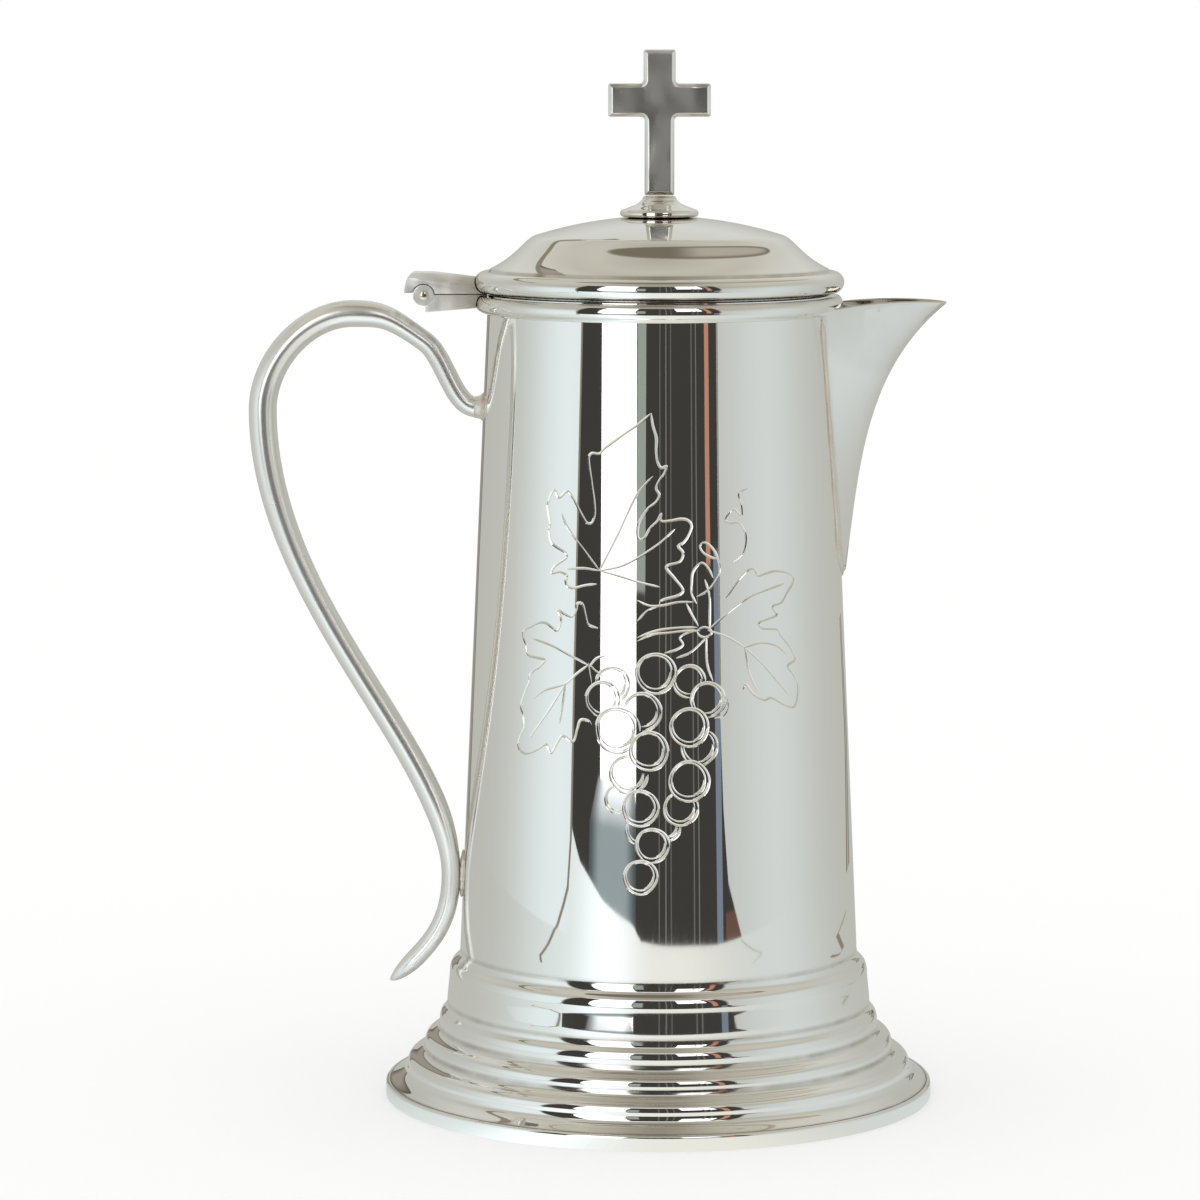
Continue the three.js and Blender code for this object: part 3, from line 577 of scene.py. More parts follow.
@dataclass(frozen=True)
class MetalFinish:
    """A metal surface of the flagon."""

    name: str
    colour: Triple
    # The tarnish colour also paints shade where a piece's crevice attribute marks a shaded gap.
    tarnish_and_shade_colour: Triple = (0.34, 0.27, 0.19)
    tarnish_and_shade_amount: float = 0.8
    dullness: float = 0.22
    gloss: float = 0.045
    haze: float = 0.03
    lines: float = 0.015
    wave: float = 0.12
    wave_scale: float = 1.0
    metallic: float = 1.0
    film: float = 0.0

    def made(self, marks: PolishMarks, tarnish_and_shade: TarnishAndPaintedShade) -> Material:
        """The material.

        Args:
            marks: The shared polishing effect.
            tarnish_and_shade: The shared effect of tarnish and painted shade.

        Returns:
            The material, procedural and on object coordinates.
        """
        material = bpy.data.materials.new(self.name)
        material.use_nodes = True
        tree, shader = Tree(material.node_tree), material.node_tree.nodes["Principled BSDF"].inputs
        wiped = marks.used(
            tree, Gloss=self.gloss, Haze=self.haze, Lines=self.lines, Wave_Scale=self.wave_scale
        )
        colours = {"Metal": (*self.colour, 1), "Tarnish": (*self.tarnish_and_shade_colour, 1)}
        # Tarnish, and shade painted in gaps and under beads, darken the colour where the crevice attribute
        # says.
        darkened = tarnish_and_shade.used(tree, **colours, Amount=self.tarnish_and_shade_amount, Dullness=self.dullness)
        metallic: float | NodeSocket = self.metallic
        if self.film:
            metallic = tree.math(
                "SUBTRACT", self.metallic, tree.math("MULTIPLY", wiped["Patches"], self.film)
            )
        bump = {"Strength": 1.0, "Distance": self.wave * MM, "Height": wiped["Height"]}
        tree.feed(shader["Metallic"], metallic)
        tree.feed(shader["Base Color"], darkened["Color"])
        tree.feed(shader["Roughness"], tree.math("ADD", wiped["Roughness"], darkened["Roughness Rise"]))
        tree.feed(shader["Normal"], tree.add("ShaderNodeBump", bump).outputs[0])
        return material


@dataclass(frozen=True)
class Finish:
    """A finished material, and the slot of the record that it dresses."""

    material: Material
    slot: Slot


class Finishes:
    """All metal surfaces of the flagon, made once."""

    def __init__(self) -> None:
        """Builds the shared effects and the materials."""
        effects = (PolishMarks(), TarnishAndPaintedShade())

        def metal(slot: Slot, name: str, *colour: float, **settings: object) -> Finish:
            """A finish of one colour, with its own settings."""
            return Finish(MetalFinish(name, colour, **settings).made(*effects), slot)

        silver, cast = (0.90, 0.89, 0.86), (0.90, 0.885, 0.85)
        engraved = {"tarnish_and_shade_colour": (0.80, 0.76, 0.66), "tarnish_and_shade_amount": 1.0, "dullness": 0.42}
        darkened = {"tarnish_and_shade_colour": (0.55, 0.46, 0.34), "metallic": 0.7}
        self.plate = metal(Slot.PLATE, "silver_plate_polished", *silver, gloss=0.03, haze=0.02)
        polished = {"gloss": 0.018, "haze": 0.012, "lines": 0.01, "wave": 0.06}
        self.drum = metal(Slot.PLATE, "silver_plate_drum", *silver, **engraved, **polished)
        filmed = {"gloss": 0.16, "haze": 0.08, "wave": 0.7, "wave_scale": 5.0, "metallic": 0.97, "film": 0.17}
        self.cast = metal(Slot.CAST, "silver_cast_polished", *cast, **filmed)
        softer = {"gloss": 0.25, "haze": 0.05, "lines": 0.0, "wave": 0.2, "metallic": 0.9}
        self.bar = metal(Slot.CAST, "silver_cast_softened", *cast, **softer)
        filed = {"gloss": 0.27, "haze": 0.1, "wave": 1.3, "wave_scale": 5.0, "metallic": 0.72, "film": 0.3}
        self.hinge = metal(Slot.CAST, "silver_cast_filed", 0.92, 0.915, 0.875, **filed)
        satin = {"gloss": 0.24, "haze": 0.06, "lines": 0.05, "wave": 0.1}
        self.inside = metal(Slot.INSIDE, "silver_inside_satin", 0.80, 0.78, 0.73, **satin)
        self.solder = metal(Slot.SOLDER, "solder_plated", 0.86, 0.82, 0.74, **darkened, gloss=0.32, wave=0.5)
        self.pin = metal(Slot.PIN, "hinge_pin_worn", 0.80, 0.74, 0.60, gloss=0.14, haze=0.08)
        self.brass = metal(Slot.BRASS, "turned_brass", 0.76, 0.62, 0.36, gloss=0.22, haze=0.1, lines=0.05)


# The workshop


@dataclass(frozen=True)
class Crevice:
    """A place in a profile that is darkened: tarnish where a polishing cloth misses, painted shade where a
    gap is shaded.
    """

    radius: float
    height: float
    reach: float = 1.5

    def at(self, point: Point) -> float:
        """How much of it is felt at a point, from 0 to 1."""
        return max(0.0, 1 - math.dist(point, (self.radius, self.height)) / self.reach)


class Workshop:
    """Makes finished pieces with the shared tree and hands them to the frame."""

    def __init__(self) -> None:
        """Builds the shared tree and the finishes."""
        self.form, self.finishes = SectionForm(), Finishes()

    def turned(
        self, name: str, profile: Sequence[Point], finish: Finish, body: Body, *nodes: str,
        crevices: Sequence[Crevice] = (), segments: int = TURN_SEGMENTS, longest: float = 2.0,
        edge: float = 0.2, lay: Matrix | None = None
    ) -> None:
        """Makes a turned piece.

        Args:
            name: Its name.
            profile: Radius and height of its closed outline, which runs upwards on the outside.
            finish: Its finish.
            body: The body that it rides on.
            *nodes: CAD nodes that it replaces.
            crevices: Where tarnish stays, and where shade is painted.
            segments: How many segments go round.
            longest: Longest stretch of the profile.
            edge: Radius that its corners are rounded to.
            lay: How it is moved from the drum's axis, if at all.
        """
        line = refined(softened(profile, edge), longest)
        path, radii = [(0.0, 0.0, height) for _, height in line], [radius for radius, _ in line]
        axes = (np.outer(radii, (1, 0, 0)), np.outer(radii, (0, 1, 0)))
        crevice = [max((crevice.at(point) for crevice in crevices), default=0.0) for point in line]
        self.swept(name, path, *axes, finish, body, *nodes, sides=segments, crevice=crevice, lay=lay)

    def swept(
        self, name: str, path: Sequence, rise: np.ndarray, spread: np.ndarray, finish: Finish, body: Body,
        *nodes: str, crevice: Sequence[float], sides: int = 48, lay: Matrix | None = None
    ) -> None:
        """Makes a piece with an oval section at each point of a path.

        Args:
            name: Its name.
            path: Middle points, in millimetres about the drum's axis.
            rise: First half axis at each point, in millimetres.
            spread: Second half axis at each point, in millimetres.
            finish: Its finish.
            body: The body that it rides on.
            *nodes: CAD nodes that it replaces.
            crevice: How much tarnish and painted shade each point gets.
            sides: Points round the section.
            lay: How it is moved, if at all.
        """
        made = mesh_object(name, placed(path), [])
        for title, values in (("rise", rise * MM), ("spread", spread * MM), ("crevice", crevice)):
            store(made, title, values)
        self.form.applied(made, sides, finish.material)
        if lay:
            made.data.transform(lay)
        self.handed(made, finish, body, *nodes)

    @staticmethod
    def handed(made: Object, finish: Finish, body: Body, *nodes: str) -> None:
        """Ties a finished piece to its body and the CAD nodes that it stands for.

        Args:
            made: The piece.
            finish: Its finish, whose material it gets unless it has one.
            body: The body that it rides on.
            *nodes: CAD nodes that it replaces.
        """
        if not made.data.materials:
            made.data.materials.append(finish.material)
        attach(made, body.value)
        if nodes:
            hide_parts(*nodes)
        log.info("%s: %d faces on %s", made.name, len(made.data.polygons), body.value)


@dataclass
class Assembly:
    """A sub-assembly of the flagon, which makes its own pieces."""

    shop: Workshop

    @property
    def finishes(self) -> Finishes:
        """The shop's finishes."""
        return self.shop.finishes

    def make(self) -> None:
        """Makes all its pieces."""
        raise NotImplementedError


def bevelled(made: Object, width: float, segments: int) -> Object:
    """Rounds an object's sharp edges for good.

    Args:
        made: The object.
        width: Width of the rounding in millimetres.
        segments: Steps in it.

    Returns:
        The same object with the made mesh.
    """
    modifier = made.modifiers.new("edges", "BEVEL")
    modifier.width, modifier.segments = width * MM, segments
    modifier.limit_method, modifier.angle_limit = "ANGLE", math.radians(30)
    modifier.harden_normals = False
    modifier.miter_outer = "MITER_ARC"
    return settled(made, modifier)


def merged_copy(node: str, name: str) -> Object:
    """A copy of a CAD node with its loose triangles merged into flat faces.

    Args:
        node: The CAD node.
        name: The copy's name.

    Returns:
        The copy.
    """
    shape = bmesh.new()
    shape.from_mesh(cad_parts[node].data)
    bmesh.ops.remove_doubles(shape, verts=shape.verts[:], dist=1e-5)
    parts = {"verts": shape.verts[:], "edges": shape.edges[:]}
    bmesh.ops.dissolve_limit(shape, angle_limit=math.radians(1.0), **parts, use_dissolve_boundaries=False)
    made = mesh_object(name, np.empty((0, 3)), [])
    shape.to_mesh(made.data)
    shape.free()
    return made


def shaded_by_angle(made: Object, limit: float) -> Object:
    """Shades an object smoothly, but not across its sharper edges.

    Args:
        made: Mesh object.
        limit: How many degrees an edge may turn and still look smooth.

    Returns:
        The same object.
    """
    made.data.shade_smooth()
    made.data.set_sharp_from_angle(angle=math.radians(limit))
    return made


# Foot


@dataclass
class Foot(Assembly):
    """Stepped foot: a flat rim ring, and a spun shell of three cushion beads, a band and a shoulder."""

    rim_radius: float = 84.05
    rim_height: float = 4.7
    rim_width: float = 7.5
    rim_edge_round: float = 0.9
    rim_land_width: float = 0.4
    rim_tread: float = 6.7
    rim_tread_lift: float = 1.6
    lower_bead: Point = (77.35, 9.6)
    middle_bead: Point = (71.95, 16.1)
    upper_bead: Point = (67.45, 22.6)
    band_foot: Point = (65.05, 30.0)
    band_top: Point = (64.3, 37.5)
    top: float = 46.3
    wall: float = 1.0

    @property
    def land(self) -> float:
        """Radius at which the rim's top edge gives way to the shell."""
        return self.rim_radius - self.rim_edge_round - self.rim_land_width

    def make(self) -> None:
        """Makes both pieces."""
        self.make_rim()
        self.make_shell()

    def make_rim(self) -> None:
        """The flat ring that the flagon stands on, with a rebate for the shell."""
        inside, rebate = self.rim_radius - self.rim_width, self.rim_height - self.wall
        round_centre = (self.rim_radius - self.rim_edge_round, self.rim_height - self.rim_edge_round)
        edge = arc(round_centre, self.rim_edge_round, 0, 90, 14)
        step = [(self.land, self.rim_height), (self.land, rebate), (inside, rebate)]
        profile = [(inside, 0.0), (self.rim_radius, 0.0), *edge, *step, (inside, 0.0)]
        crevices = [Crevice(self.land, self.rim_height, 0.5), Crevice(inside, rebate, 2.0)]
        self.shop.turned(
            "foot_rim_ring", profile, self.finishes.plate, Body.VESSEL, "foot_rim", crevices=crevices
        )

    def make_shell(self) -> None:
        """The spun shell."""
        edge, neck = (self.land - 0.06, self.rim_height + 0.02), (DRUM.bottom_radius, self.top)
        tread = (edge[0] - 0.5 * self.rim_tread, edge[1] + self.rim_tread_lift)
        bead_pull = (self.lower_bead[0], self.lower_bead[1] - 0.6 * (self.lower_bead[1] - self.rim_height))
        outside = [
            edge, *cubic(edge, tread, bead_pull, self.lower_bead, 22),
            *ogee(self.lower_bead, self.middle_bead, 24), *ogee(self.middle_bead, self.upper_bead, 24),
            *ogee(self.upper_bead, self.band_foot, 22), self.band_top, *ogee(self.band_top, neck, 22)
        ]
        crevices = [Crevice(*edge, 0.7), Crevice(neck[0] + 0.5, neck[1] - 1.1, 0.9)]
        # Painted shade: brown darkening just below the middle and upper beads and the band's foot, on the
        # concave steps.
        crevices += [
            Crevice(x + 0.5, z - 1.1, 1.1) for x, z in (self.middle_bead, self.upper_bead, self.band_foot)
        ]
        profile, extra = sheet(outside, self.wall), {"crevices": crevices, "edge": 0.01}
        self.shop.turned("foot_shell_spun", profile, self.finishes.plate, Body.VESSEL, "foot_shell", **extra)


# Mouth ring, floor and lid


@dataclass
class MouthRing(Assembly):
    """Rounded moulding round the outside of the drum's mouth."""

    height: float = 5.6
    depth: float = 3.5
    drop: float = 0.5

    def make(self) -> None:
        """Makes the ring. It is undercut below its fullest part and rounds off above it."""
        top_height = DRUM.top - self.drop
        base = top_height - self.height
        radius = DRUM.radius_at(base) + self.depth
        foot, full = (DRUM.radius_at(base) - 0.1, base), (radius, base + 0.55 * self.height)
        top = (radius - 0.37 * self.depth, top_height)
        low_pull = (full[0] - 0.3 * self.depth, base + 0.12 * self.height)
        high_pull = (full[0], full[1] + 0.25 * self.height)
        profile = [
            foot, *cubic(foot, low_pull, (full[0], full[1] - 0.3 * self.height), full, 16),
            *cubic(full, high_pull, (top[0] + 0.12 * self.depth, top[1]), top, 14),
            (DRUM.radius_at(top_height) - 0.1, top_height), foot
        ]
        # The darkening at the ring's top is painted shade of the gap under the lid's bead; the one at its
        # foot is tarnish at the joint.
        extra = {"crevices": [Crevice(*foot, 1.0), Crevice(*top, 1.5)], "longest": 1.0}
        self.shop.turned(
            "mouth_ring_turned", profile, self.finishes.plate, Body.VESSEL, "mouth_ring", **extra
        )


@dataclass
class Floor(Assembly):
    """Shallow cup soldered inside the lower end of the drum."""

    wall: float = 1.2
    skirt_depth: float = 3.0
    skirt_height: float = 7.0

    def make(self) -> None:
        """Makes the cup."""
        low, high = DRUM.base - self.skirt_depth, DRUM.base + self.skirt_height
        radius = DRUM.bottom_radius - DRUM.wall - SEAT_GAP
        high_radius = DRUM.radius_at(high) - DRUM.wall - SEAT_GAP
        corner = (radius - 2 * self.wall, low + self.wall)
        profile = [
            (0.0, low), (radius - self.wall, low), (radius, low + self.wall), (radius, DRUM.base),
            (high_radius, high), (high_radius - self.wall, high), (radius - self.wall, DRUM.base), corner,
            (0.0, low + self.wall)
        ]
        extra = {"crevices": [Crevice(*corner, 4.0)], "edge": 0.6, "longest": 3.0, "segments": 128}
        self.shop.turned("drum_floor_cup", profile, self.finishes.inside, Body.VESSEL, "drum_floor", **extra)


@dataclass
class Lid(Assembly):
    """Domed lid with a rolled lip, and the bezel under it."""

    bead_radius: float = 3.2
    bead_centre: Point = (52.9, 250.0)
    notch_depth: float = 1.6
    notch_rise: float = 0.8
    dome_height: float = 19.87
    dome_radius: float = 37.5
    dome_sphere: float = 121.6
    wall: float = 1.0
    stud_bore: float = 2.3
    collar_radius: float = 11.9
    bezel_wall: float = 1.2
    bezel_clearance: float = 0.6
    bezel_depth: float = 3.6
    bezel_top_drop: float = 0.5

    @property
    def top(self) -> float:
        """Height of the dome's middle."""
        return self.bead_centre[1] + self.dome_height

    def dome_at(self, radius: float) -> float:
        """Height of the dome at a radius."""
        return self.top - radius**2 / (2 * self.dome_sphere)

    def make(self) -> None:
        """Makes the shell and its bezel."""
        self.make_shell()
        self.make_bezel()

    def make_shell(self) -> None:
        """Dome, shoulder and flare in one spun sheet, with its lip rolled into a bead."""
        notch_height = self.bead_centre[1] + self.bead_radius + self.notch_rise
        notch = (self.bead_centre[0] - self.notch_depth, notch_height)
        edge = (self.dome_radius, self.dome_at(self.dome_radius))
        run, rise = notch[0] - edge[0], edge[1] - notch[1]
        notch_pull = (notch[0] - 0.59 * run, notch[1] + 0.38 * rise)
        edge_pull = (edge[0] + 0.25 * run, edge[1] - 0.11 * rise)
        dome_steps = 22
        radii = [lerp(self.dome_radius, self.stud_bore, i / dome_steps) for i in range(1, dome_steps + 1)]
        outside = [
            *arc(self.bead_centre, self.bead_radius, -118, 108, 44), notch,
            *cubic(notch, notch_pull, edge_pull, edge, 26),
            *((radius, self.dome_at(radius)) for radius in radii)
        ]
        # The crevice under the bead is painted shade of the gap over the mouth ring; the notch and the
        # collar's foot keep tarnish.
        crevices = [
            Crevice(notch[0], notch[1] - 0.6, 1.2),
            Crevice(self.collar_radius, self.dome_at(self.collar_radius), 1.0),
            Crevice(self.bead_centre[0] - 0.8, self.bead_centre[1] - self.bead_radius, 2.0)
        ]
        profile, extra = sheet(outside, self.wall), {"crevices": crevices, "edge": 0.1}
        self.shop.turned("lid_shell_spun", profile, self.finishes.plate, Body.LID, "lid_shell", **extra)

    def make_bezel(self) -> None:
        """The collar under the lid that drops into the mouth."""
        outer = DRUM.top_radius - DRUM.wall - self.bezel_clearance
        inner, low = outer - self.bezel_wall, DRUM.top - self.bezel_depth
        high = self.bead_centre[1] + self.bead_radius - self.bezel_top_drop
        profile = [
            (inner, low), (outer, low), (outer, high), (inner, high + 0.6 * self.bezel_wall), (inner, low)
        ]
        extra = {"edge": 0.3, "segments": 192}
        self.shop.turned("lid_bezel_ring", profile, self.finishes.inside, Body.LID, "lid_bezel", **extra)


# Finial


@dataclass
class Finial(Assembly):
    """Cross on a turned collar, held by a stud, a washer and a nut inside the lid."""

    lid: Lid
    collar_height: float = 5.8
    collar_top_radius: float = 5.0
    collar_edge_height: float = 2.3
    cross_height: float = 43.73
    cross_span: float = 31.0
    cross_thickness: float = 4.6
    head_width: float = 9.7
    stem_width: float = 9.0
    arm_height: float = 10.0
    arm_drop: float = 10.2
    inner_round: float = 1.2
    outer_round: float = 0.7
    foot_round: float = 0.35
    least_round: float = 0.03
    bevel: float = 1.15
    bevel_depth: float = 1.0
    tarnish_rise: float = 6.4
    stud_radius: float = 2.0
    stud_length: float = 12.6
    washer_radius: float = 5.0
    washer_thickness: float = 1.0

    def make(self) -> None:
        """Makes every piece of the finial."""
        self.make_collar()
        self.make_cross()
        self.make_fixings()

    def make_collar(self) -> None:
        """The turned cone with a rounded edge."""
        proud, slack = 0.02, 0.28
        dome_at, radius, bore = self.lid.dome_at, self.lid.collar_radius, self.lid.stud_bore
        base, half = dome_at(0) + proud, self.collar_edge_height / 2
        top = base + self.collar_height + SEAT_GAP
        flank = (0.65 * radius, base + 0.5 * self.collar_height + slack)
        crown = (self.collar_top_radius, base + 0.92 * self.collar_height + slack)
        rim = arc((radius - half, dome_at(radius) + proud + half + slack), half, -75, 68, 18)
        profile = [
            (bore, base), (0.6 * radius, dome_at(0.6 * radius) + proud), *rim,
            *cubic(rim[-1], (9.9, flank[1] - 0.9), (flank[0] + 1.0, flank[1] - 0.35), flank, 8),
            *cubic(flank, (flank[0] - 1.1, flank[1] + 0.4), (crown[0] + 0.4, crown[1] - 1.2), crown, 8),
            (0.9 * self.collar_top_radius, top), (bore, top), (bore, base)
        ]
        extra = {"crevices": [Crevice(self.collar_top_radius, top, 0.8)], "segments": 96, "longest": 0.6}
        self.shop.turned(
            "finial_collar_turned", profile, self.finishes.plate, Body.LID, "finial_collar", **extra
        )

    def cross_outline(self, inset: float) -> list[Point]:
        """The cross from the front, going round once.

        Args:
            inset: How far the line lies inside the cross's outline.

        Returns:
            Points across and up, as many for any inset.
        """
        base = self.lid.top + self.collar_height + 2 * SEAT_GAP
        top = base + self.cross_height
        arm_top = top - self.arm_drop
        arm_foot = arm_top - self.arm_height
        head, stem, span = self.head_width / 2, self.stem_width / 2, self.cross_span / 2
        right = (
            (stem, base, 1, self.foot_round), (stem, arm_foot, 1, -self.inner_round),
            (span, arm_foot, 1, self.outer_round), (span, arm_top, -1, self.outer_round),
            (head, arm_top, -1, -self.inner_round), (head, top, -1, self.outer_round)
        )
        corners = []
        for x, z, up, bend in right:
            limit = min if bend < 0 else max
            corners.append((x - inset, z + inset * up, abs(limit(bend - inset, self.least_round))))
        corners += [(-x, z, radius) for x, z, radius in reversed(corners)]
        outline: list[Point] = []
        for i, (x, z, radius) in enumerate(corners):
            corner = np.array([x, z])
            before = unit(np.array(corners[i - 1][:2]) - corner)
            after = unit(np.array(corners[(i + 1) % len(corners)][:2]) - corner)
            centre = corner + (before + after) * radius
            for turn in np.linspace(0, math.pi / 2, 7):
                along, aside = after * radius * math.cos(turn), before * radius * math.sin(turn)
                outline.append(tuple(centre - along - aside))
        return outline

    def make_cross(self) -> None:
        """The cast cross with filed bevels and softened edges."""
        half = self.cross_thickness / 2
        side = half - self.bevel_depth
        rings = [
            (self.bevel + 0.3, half), (self.bevel + 0.02, half - 0.005), (self.bevel - 0.14, half - 0.07),
            (self.bevel - 0.25, half - 0.17), (self.bevel - 0.4, half - 0.3), (0.3, side + 0.26),
            (0.12, side + 0.08), (0.03, side - 0.06), (0.0, side - 0.22), (0.0, side - 0.5)
        ]
        levels = rings + [(inset, -depth) for inset, depth in reversed(rings)]
        points = [(x, -depth, z) for inset, depth in levels for x, z in self.cross_outline(inset)]
        count = len(points) // len(levels)
        sides = [[a, d, c, b] for a, b, c, d in grid_faces(len(levels), count, True)]
        back = [len(points) - 1 - i for i in range(count)]
        made = mesh_object("finial_cross_cast", placed(points), [[*range(count)], *sides, back])
        foot, fade = self.tarnish_rise, 1.2
        store(made, "crevice", [max(0.0, 1 - (z - self.lid.top - foot) / fade) * 0.8 for _, _, z in points])
        self.shop.handed(shaded_by_angle(made, 40), self.finishes.cast, Body.LID, "finial_cross")

    def make_fixings(self) -> None:
        """Stud, washer and nut. The nut keeps its six sides."""
        brass, turn = self.finishes.brass, {"segments": 48, "edge": 0.3}
        top = self.lid.top + SEAT_GAP + self.collar_height
        low = top - self.stud_length
        stud = [(0.0, low), (self.stud_radius, low), (self.stud_radius, top), (0.0, top)]
        self.shop.turned("finial_stud_rod", stud, brass, Body.LID, "finial_stud", **turn)
        cavity = self.lid.top - self.lid.wall - self.washer_radius**2 / (2 * self.lid.dome_sphere)
        high, bore, radius = cavity - SEAT_GAP, self.lid.stud_bore, self.washer_radius
        low = high - self.washer_thickness
        washer = [(bore, low), (radius, low), (radius, high), (bore, high), (bore, low)]
        self.shop.turned("finial_washer_ring", washer, brass, Body.LID, "finial_washer", **turn)
        nut = bevelled(merged_copy("finial_nut", "finial_nut_hex"), 0.2, 2)
        self.shop.handed(shaded_by_angle(nut, 35), brass, Body.LID, "finial_nut")


# Spout


@dataclass
class Spout(Assembly):
    """Beak spout folded from one sheet, open along its top and soldered to the drum."""

    foot_drop: float = 83.9
    foot_stand: float = 1.42
    tip_reach: float = 88.0
    tip_drop: float = 2.3
    seam_angle_top: float = 22.6
    seam_angle_foot: float = 12.0
    wall: float = 1.1
    nose_fullness: float = 0.5
    keel_wall_ratio: float = 1.5
    least_depth: float = 0.35
    foot_round: float = 9.0
    brim_fall: float = 3.4
    brim_crown: float = 2.3
    foot_cap: float = 1.2
    brim_round: float = 0.55
    solder_rise: float = 0.7
    solder_spread: float = 1.5
    columns: int = 61
    rows: int = 72
    column_crowding: float = 1.4
    row_crowding: float = 1.15

    def __post_init__(self) -> None:
        """Tabulates the keel, so that its reach can be read at any height."""
        foot = np.array([self.foot_reach, self.foot_height])
        size = np.array([self.tip_reach, self.tip_height]) - foot
        controls = (
            foot, foot + (0.13, 0.42) * size, foot + (0.2, 0.76) * size, (self.tip_reach, self.tip_height)
        )
        line = np.array([cubic_at(controls, share) for share in np.linspace(0, 1, 800)])
        heading = cubic_heading(controls, 1)
        self.keel = np.vstack([line, line[-1] + heading * 12 / heading[1]])

    @property
    def foot_height(self) -> float:
        """Height of the keel's foot."""
        return DRUM.top - self.foot_drop

    @property
    def tip_height(self) -> float:
        """Height of the keel's tip."""
        return DRUM.top - self.tip_drop

    @property
    def foot_reach(self) -> float:
        """Reach of the keel's foot from the drum's axis."""
        return DRUM.radius_at(self.foot_height) + self.foot_stand

    def seam_angle(self, height: float) -> float:
        """Angle on the drum between the keel and the seam, which closes in to a round foot.

        Args:
            height: Height on the drum.

        Returns:
            The angle in radians.
        """
        share = (height - self.foot_height) / (self.tip_height - self.foot_height)
        up = min(max((height - self.foot_height) / self.foot_round, 0.0), 1.0)
        even = lerp(self.seam_angle_foot, self.seam_angle_top, share)
        return math.radians(even * math.sqrt(1 - 0.96 * (1 - up) ** 2))

    def point_at(self, height: float, across: float, inset: float) -> np.ndarray:
        """A point of the spout's side.

        Args:
            height: Its height.
            across: From -1 at one seam over 0 at the keel to 1 at the other seam.
            inset: 0 on the outside, the wall's thickness on the inside.

        Returns:
            The point.
        """
        angle, radius = self.seam_angle(height), DRUM.radius_at(height)
        seam_x, seam_y = radius * math.cos(angle), radius * math.sin(angle) - inset
        front = float(np.interp(height, self.keel[:, 1], self.keel[:, 0]))
        front -= inset * self.keel_wall_ratio
        depth = max(front - seam_x, self.least_depth * self.wall)
        nose = self.nose_fullness * depth
        spread = ((depth + nose) ** 2 - nose**2) / seam_y**2
        y = seam_y * math.copysign(abs(across) ** self.column_crowding, across)
        return np.array([front + nose - math.sqrt(nose**2 + spread * y**2), y, height])

    def brim_at(self, x: float) -> float:
        """How high the brim is.

        Args:
            x: Distance from the drum's axis.

        Returns:
            Its height, which rises from the drum to a low crown and falls to the tip.
        """
        start, crown, end = 0.8 * DRUM.top_radius, 0.76 * self.tip_reach, 1.05 * self.tip_reach
        a, b, c = start - 2 * crown + end, 2 * (crown - start), start - x
        share = (-b + math.sqrt(max(b * b - 4 * a * c, 0.0))) / (2 * a) if abs(a) > 1e-9 else -c / b
        rest = 1 - share
        low, high = self.tip_height - self.brim_fall, self.tip_height + self.brim_crown
        return rest**2 * low + 2 * rest * share * high + share**2 * (self.tip_height - 0.2 * self.brim_crown)

    def brim_height(self, across: float, inset: float) -> float:
        """Height at which a line up the side meets the brim, less the brim's rounding.

        Args:
            across: As for point_at.
            inset: As for point_at.

        Returns:
            The height.
        """
        low, high = self.tip_height - 12, self.tip_height + 6
        halvings = 40
        for _ in range(halvings):
            middle = (low + high) / 2
            if middle < self.brim_at(self.point_at(middle, across, inset)[0]):
                low = middle
            else:
                high = middle
        return low - self.brim_round

    def make(self) -> None:
        """Makes the folded sheet and the solder along its seams."""
        self.make_sheet()
        self.make_solder()

    def side_rows(self, inset: float, foot: float) -> np.ndarray:
        """Rows of points up one face of the sheet.

        Args:
            inset: 0 for the outside, the wall's thickness for the inside.
            foot: Height of its foot.

        Returns:
            The rows, from the rounded foot to the brim.
        """
        across = np.linspace(-1, 1, self.columns)
        tops = [self.brim_height(side, inset) for side in across]
        base = np.array([DRUM.radius_at(foot) - 0.2, 0.0, foot])
        rows = []
        for share in (math.sin(a) for a in np.linspace(0, math.pi / 2, 7)[:-1]):
            drop = np.array([0, 0, self.foot_cap * math.sqrt(1 - share**2)])
            rows.append([base + (self.point_at(foot, side, inset) - base) * share - drop for side in across])
        for i in range(self.rows + 1):
            share = (i / self.rows) ** self.row_crowding
            heights = [lerp(foot, top, share) for top in tops]
            rows.append([self.point_at(height, side, inset) for height, side in zip(heights, across)])
        return np.array(rows)

    def crevice_at(self, place: np.ndarray, inside: bool) -> float:
        """How dark the sheet is made.

        Args:
            place: The place, in millimetres about the drum's axis.
            inside: Whether it lies on the sheet's inside.

        Returns:
            A share: high inside and along the seams, and painted shade under the brim.
        """
        x, y, z = place
        stand = math.hypot(x, y) - DRUM.radius_at(z)
        # Painted shade: a band of darkening on the outside below the brim.
        shade_under_brim = 0.13 * smoothstep(z - self.tip_height - 0.02 * (x - 70) ** 2, -24, -19)
        return 0.75 if inside else max(0.55 * (1 - stand / 1.1), shade_under_brim)

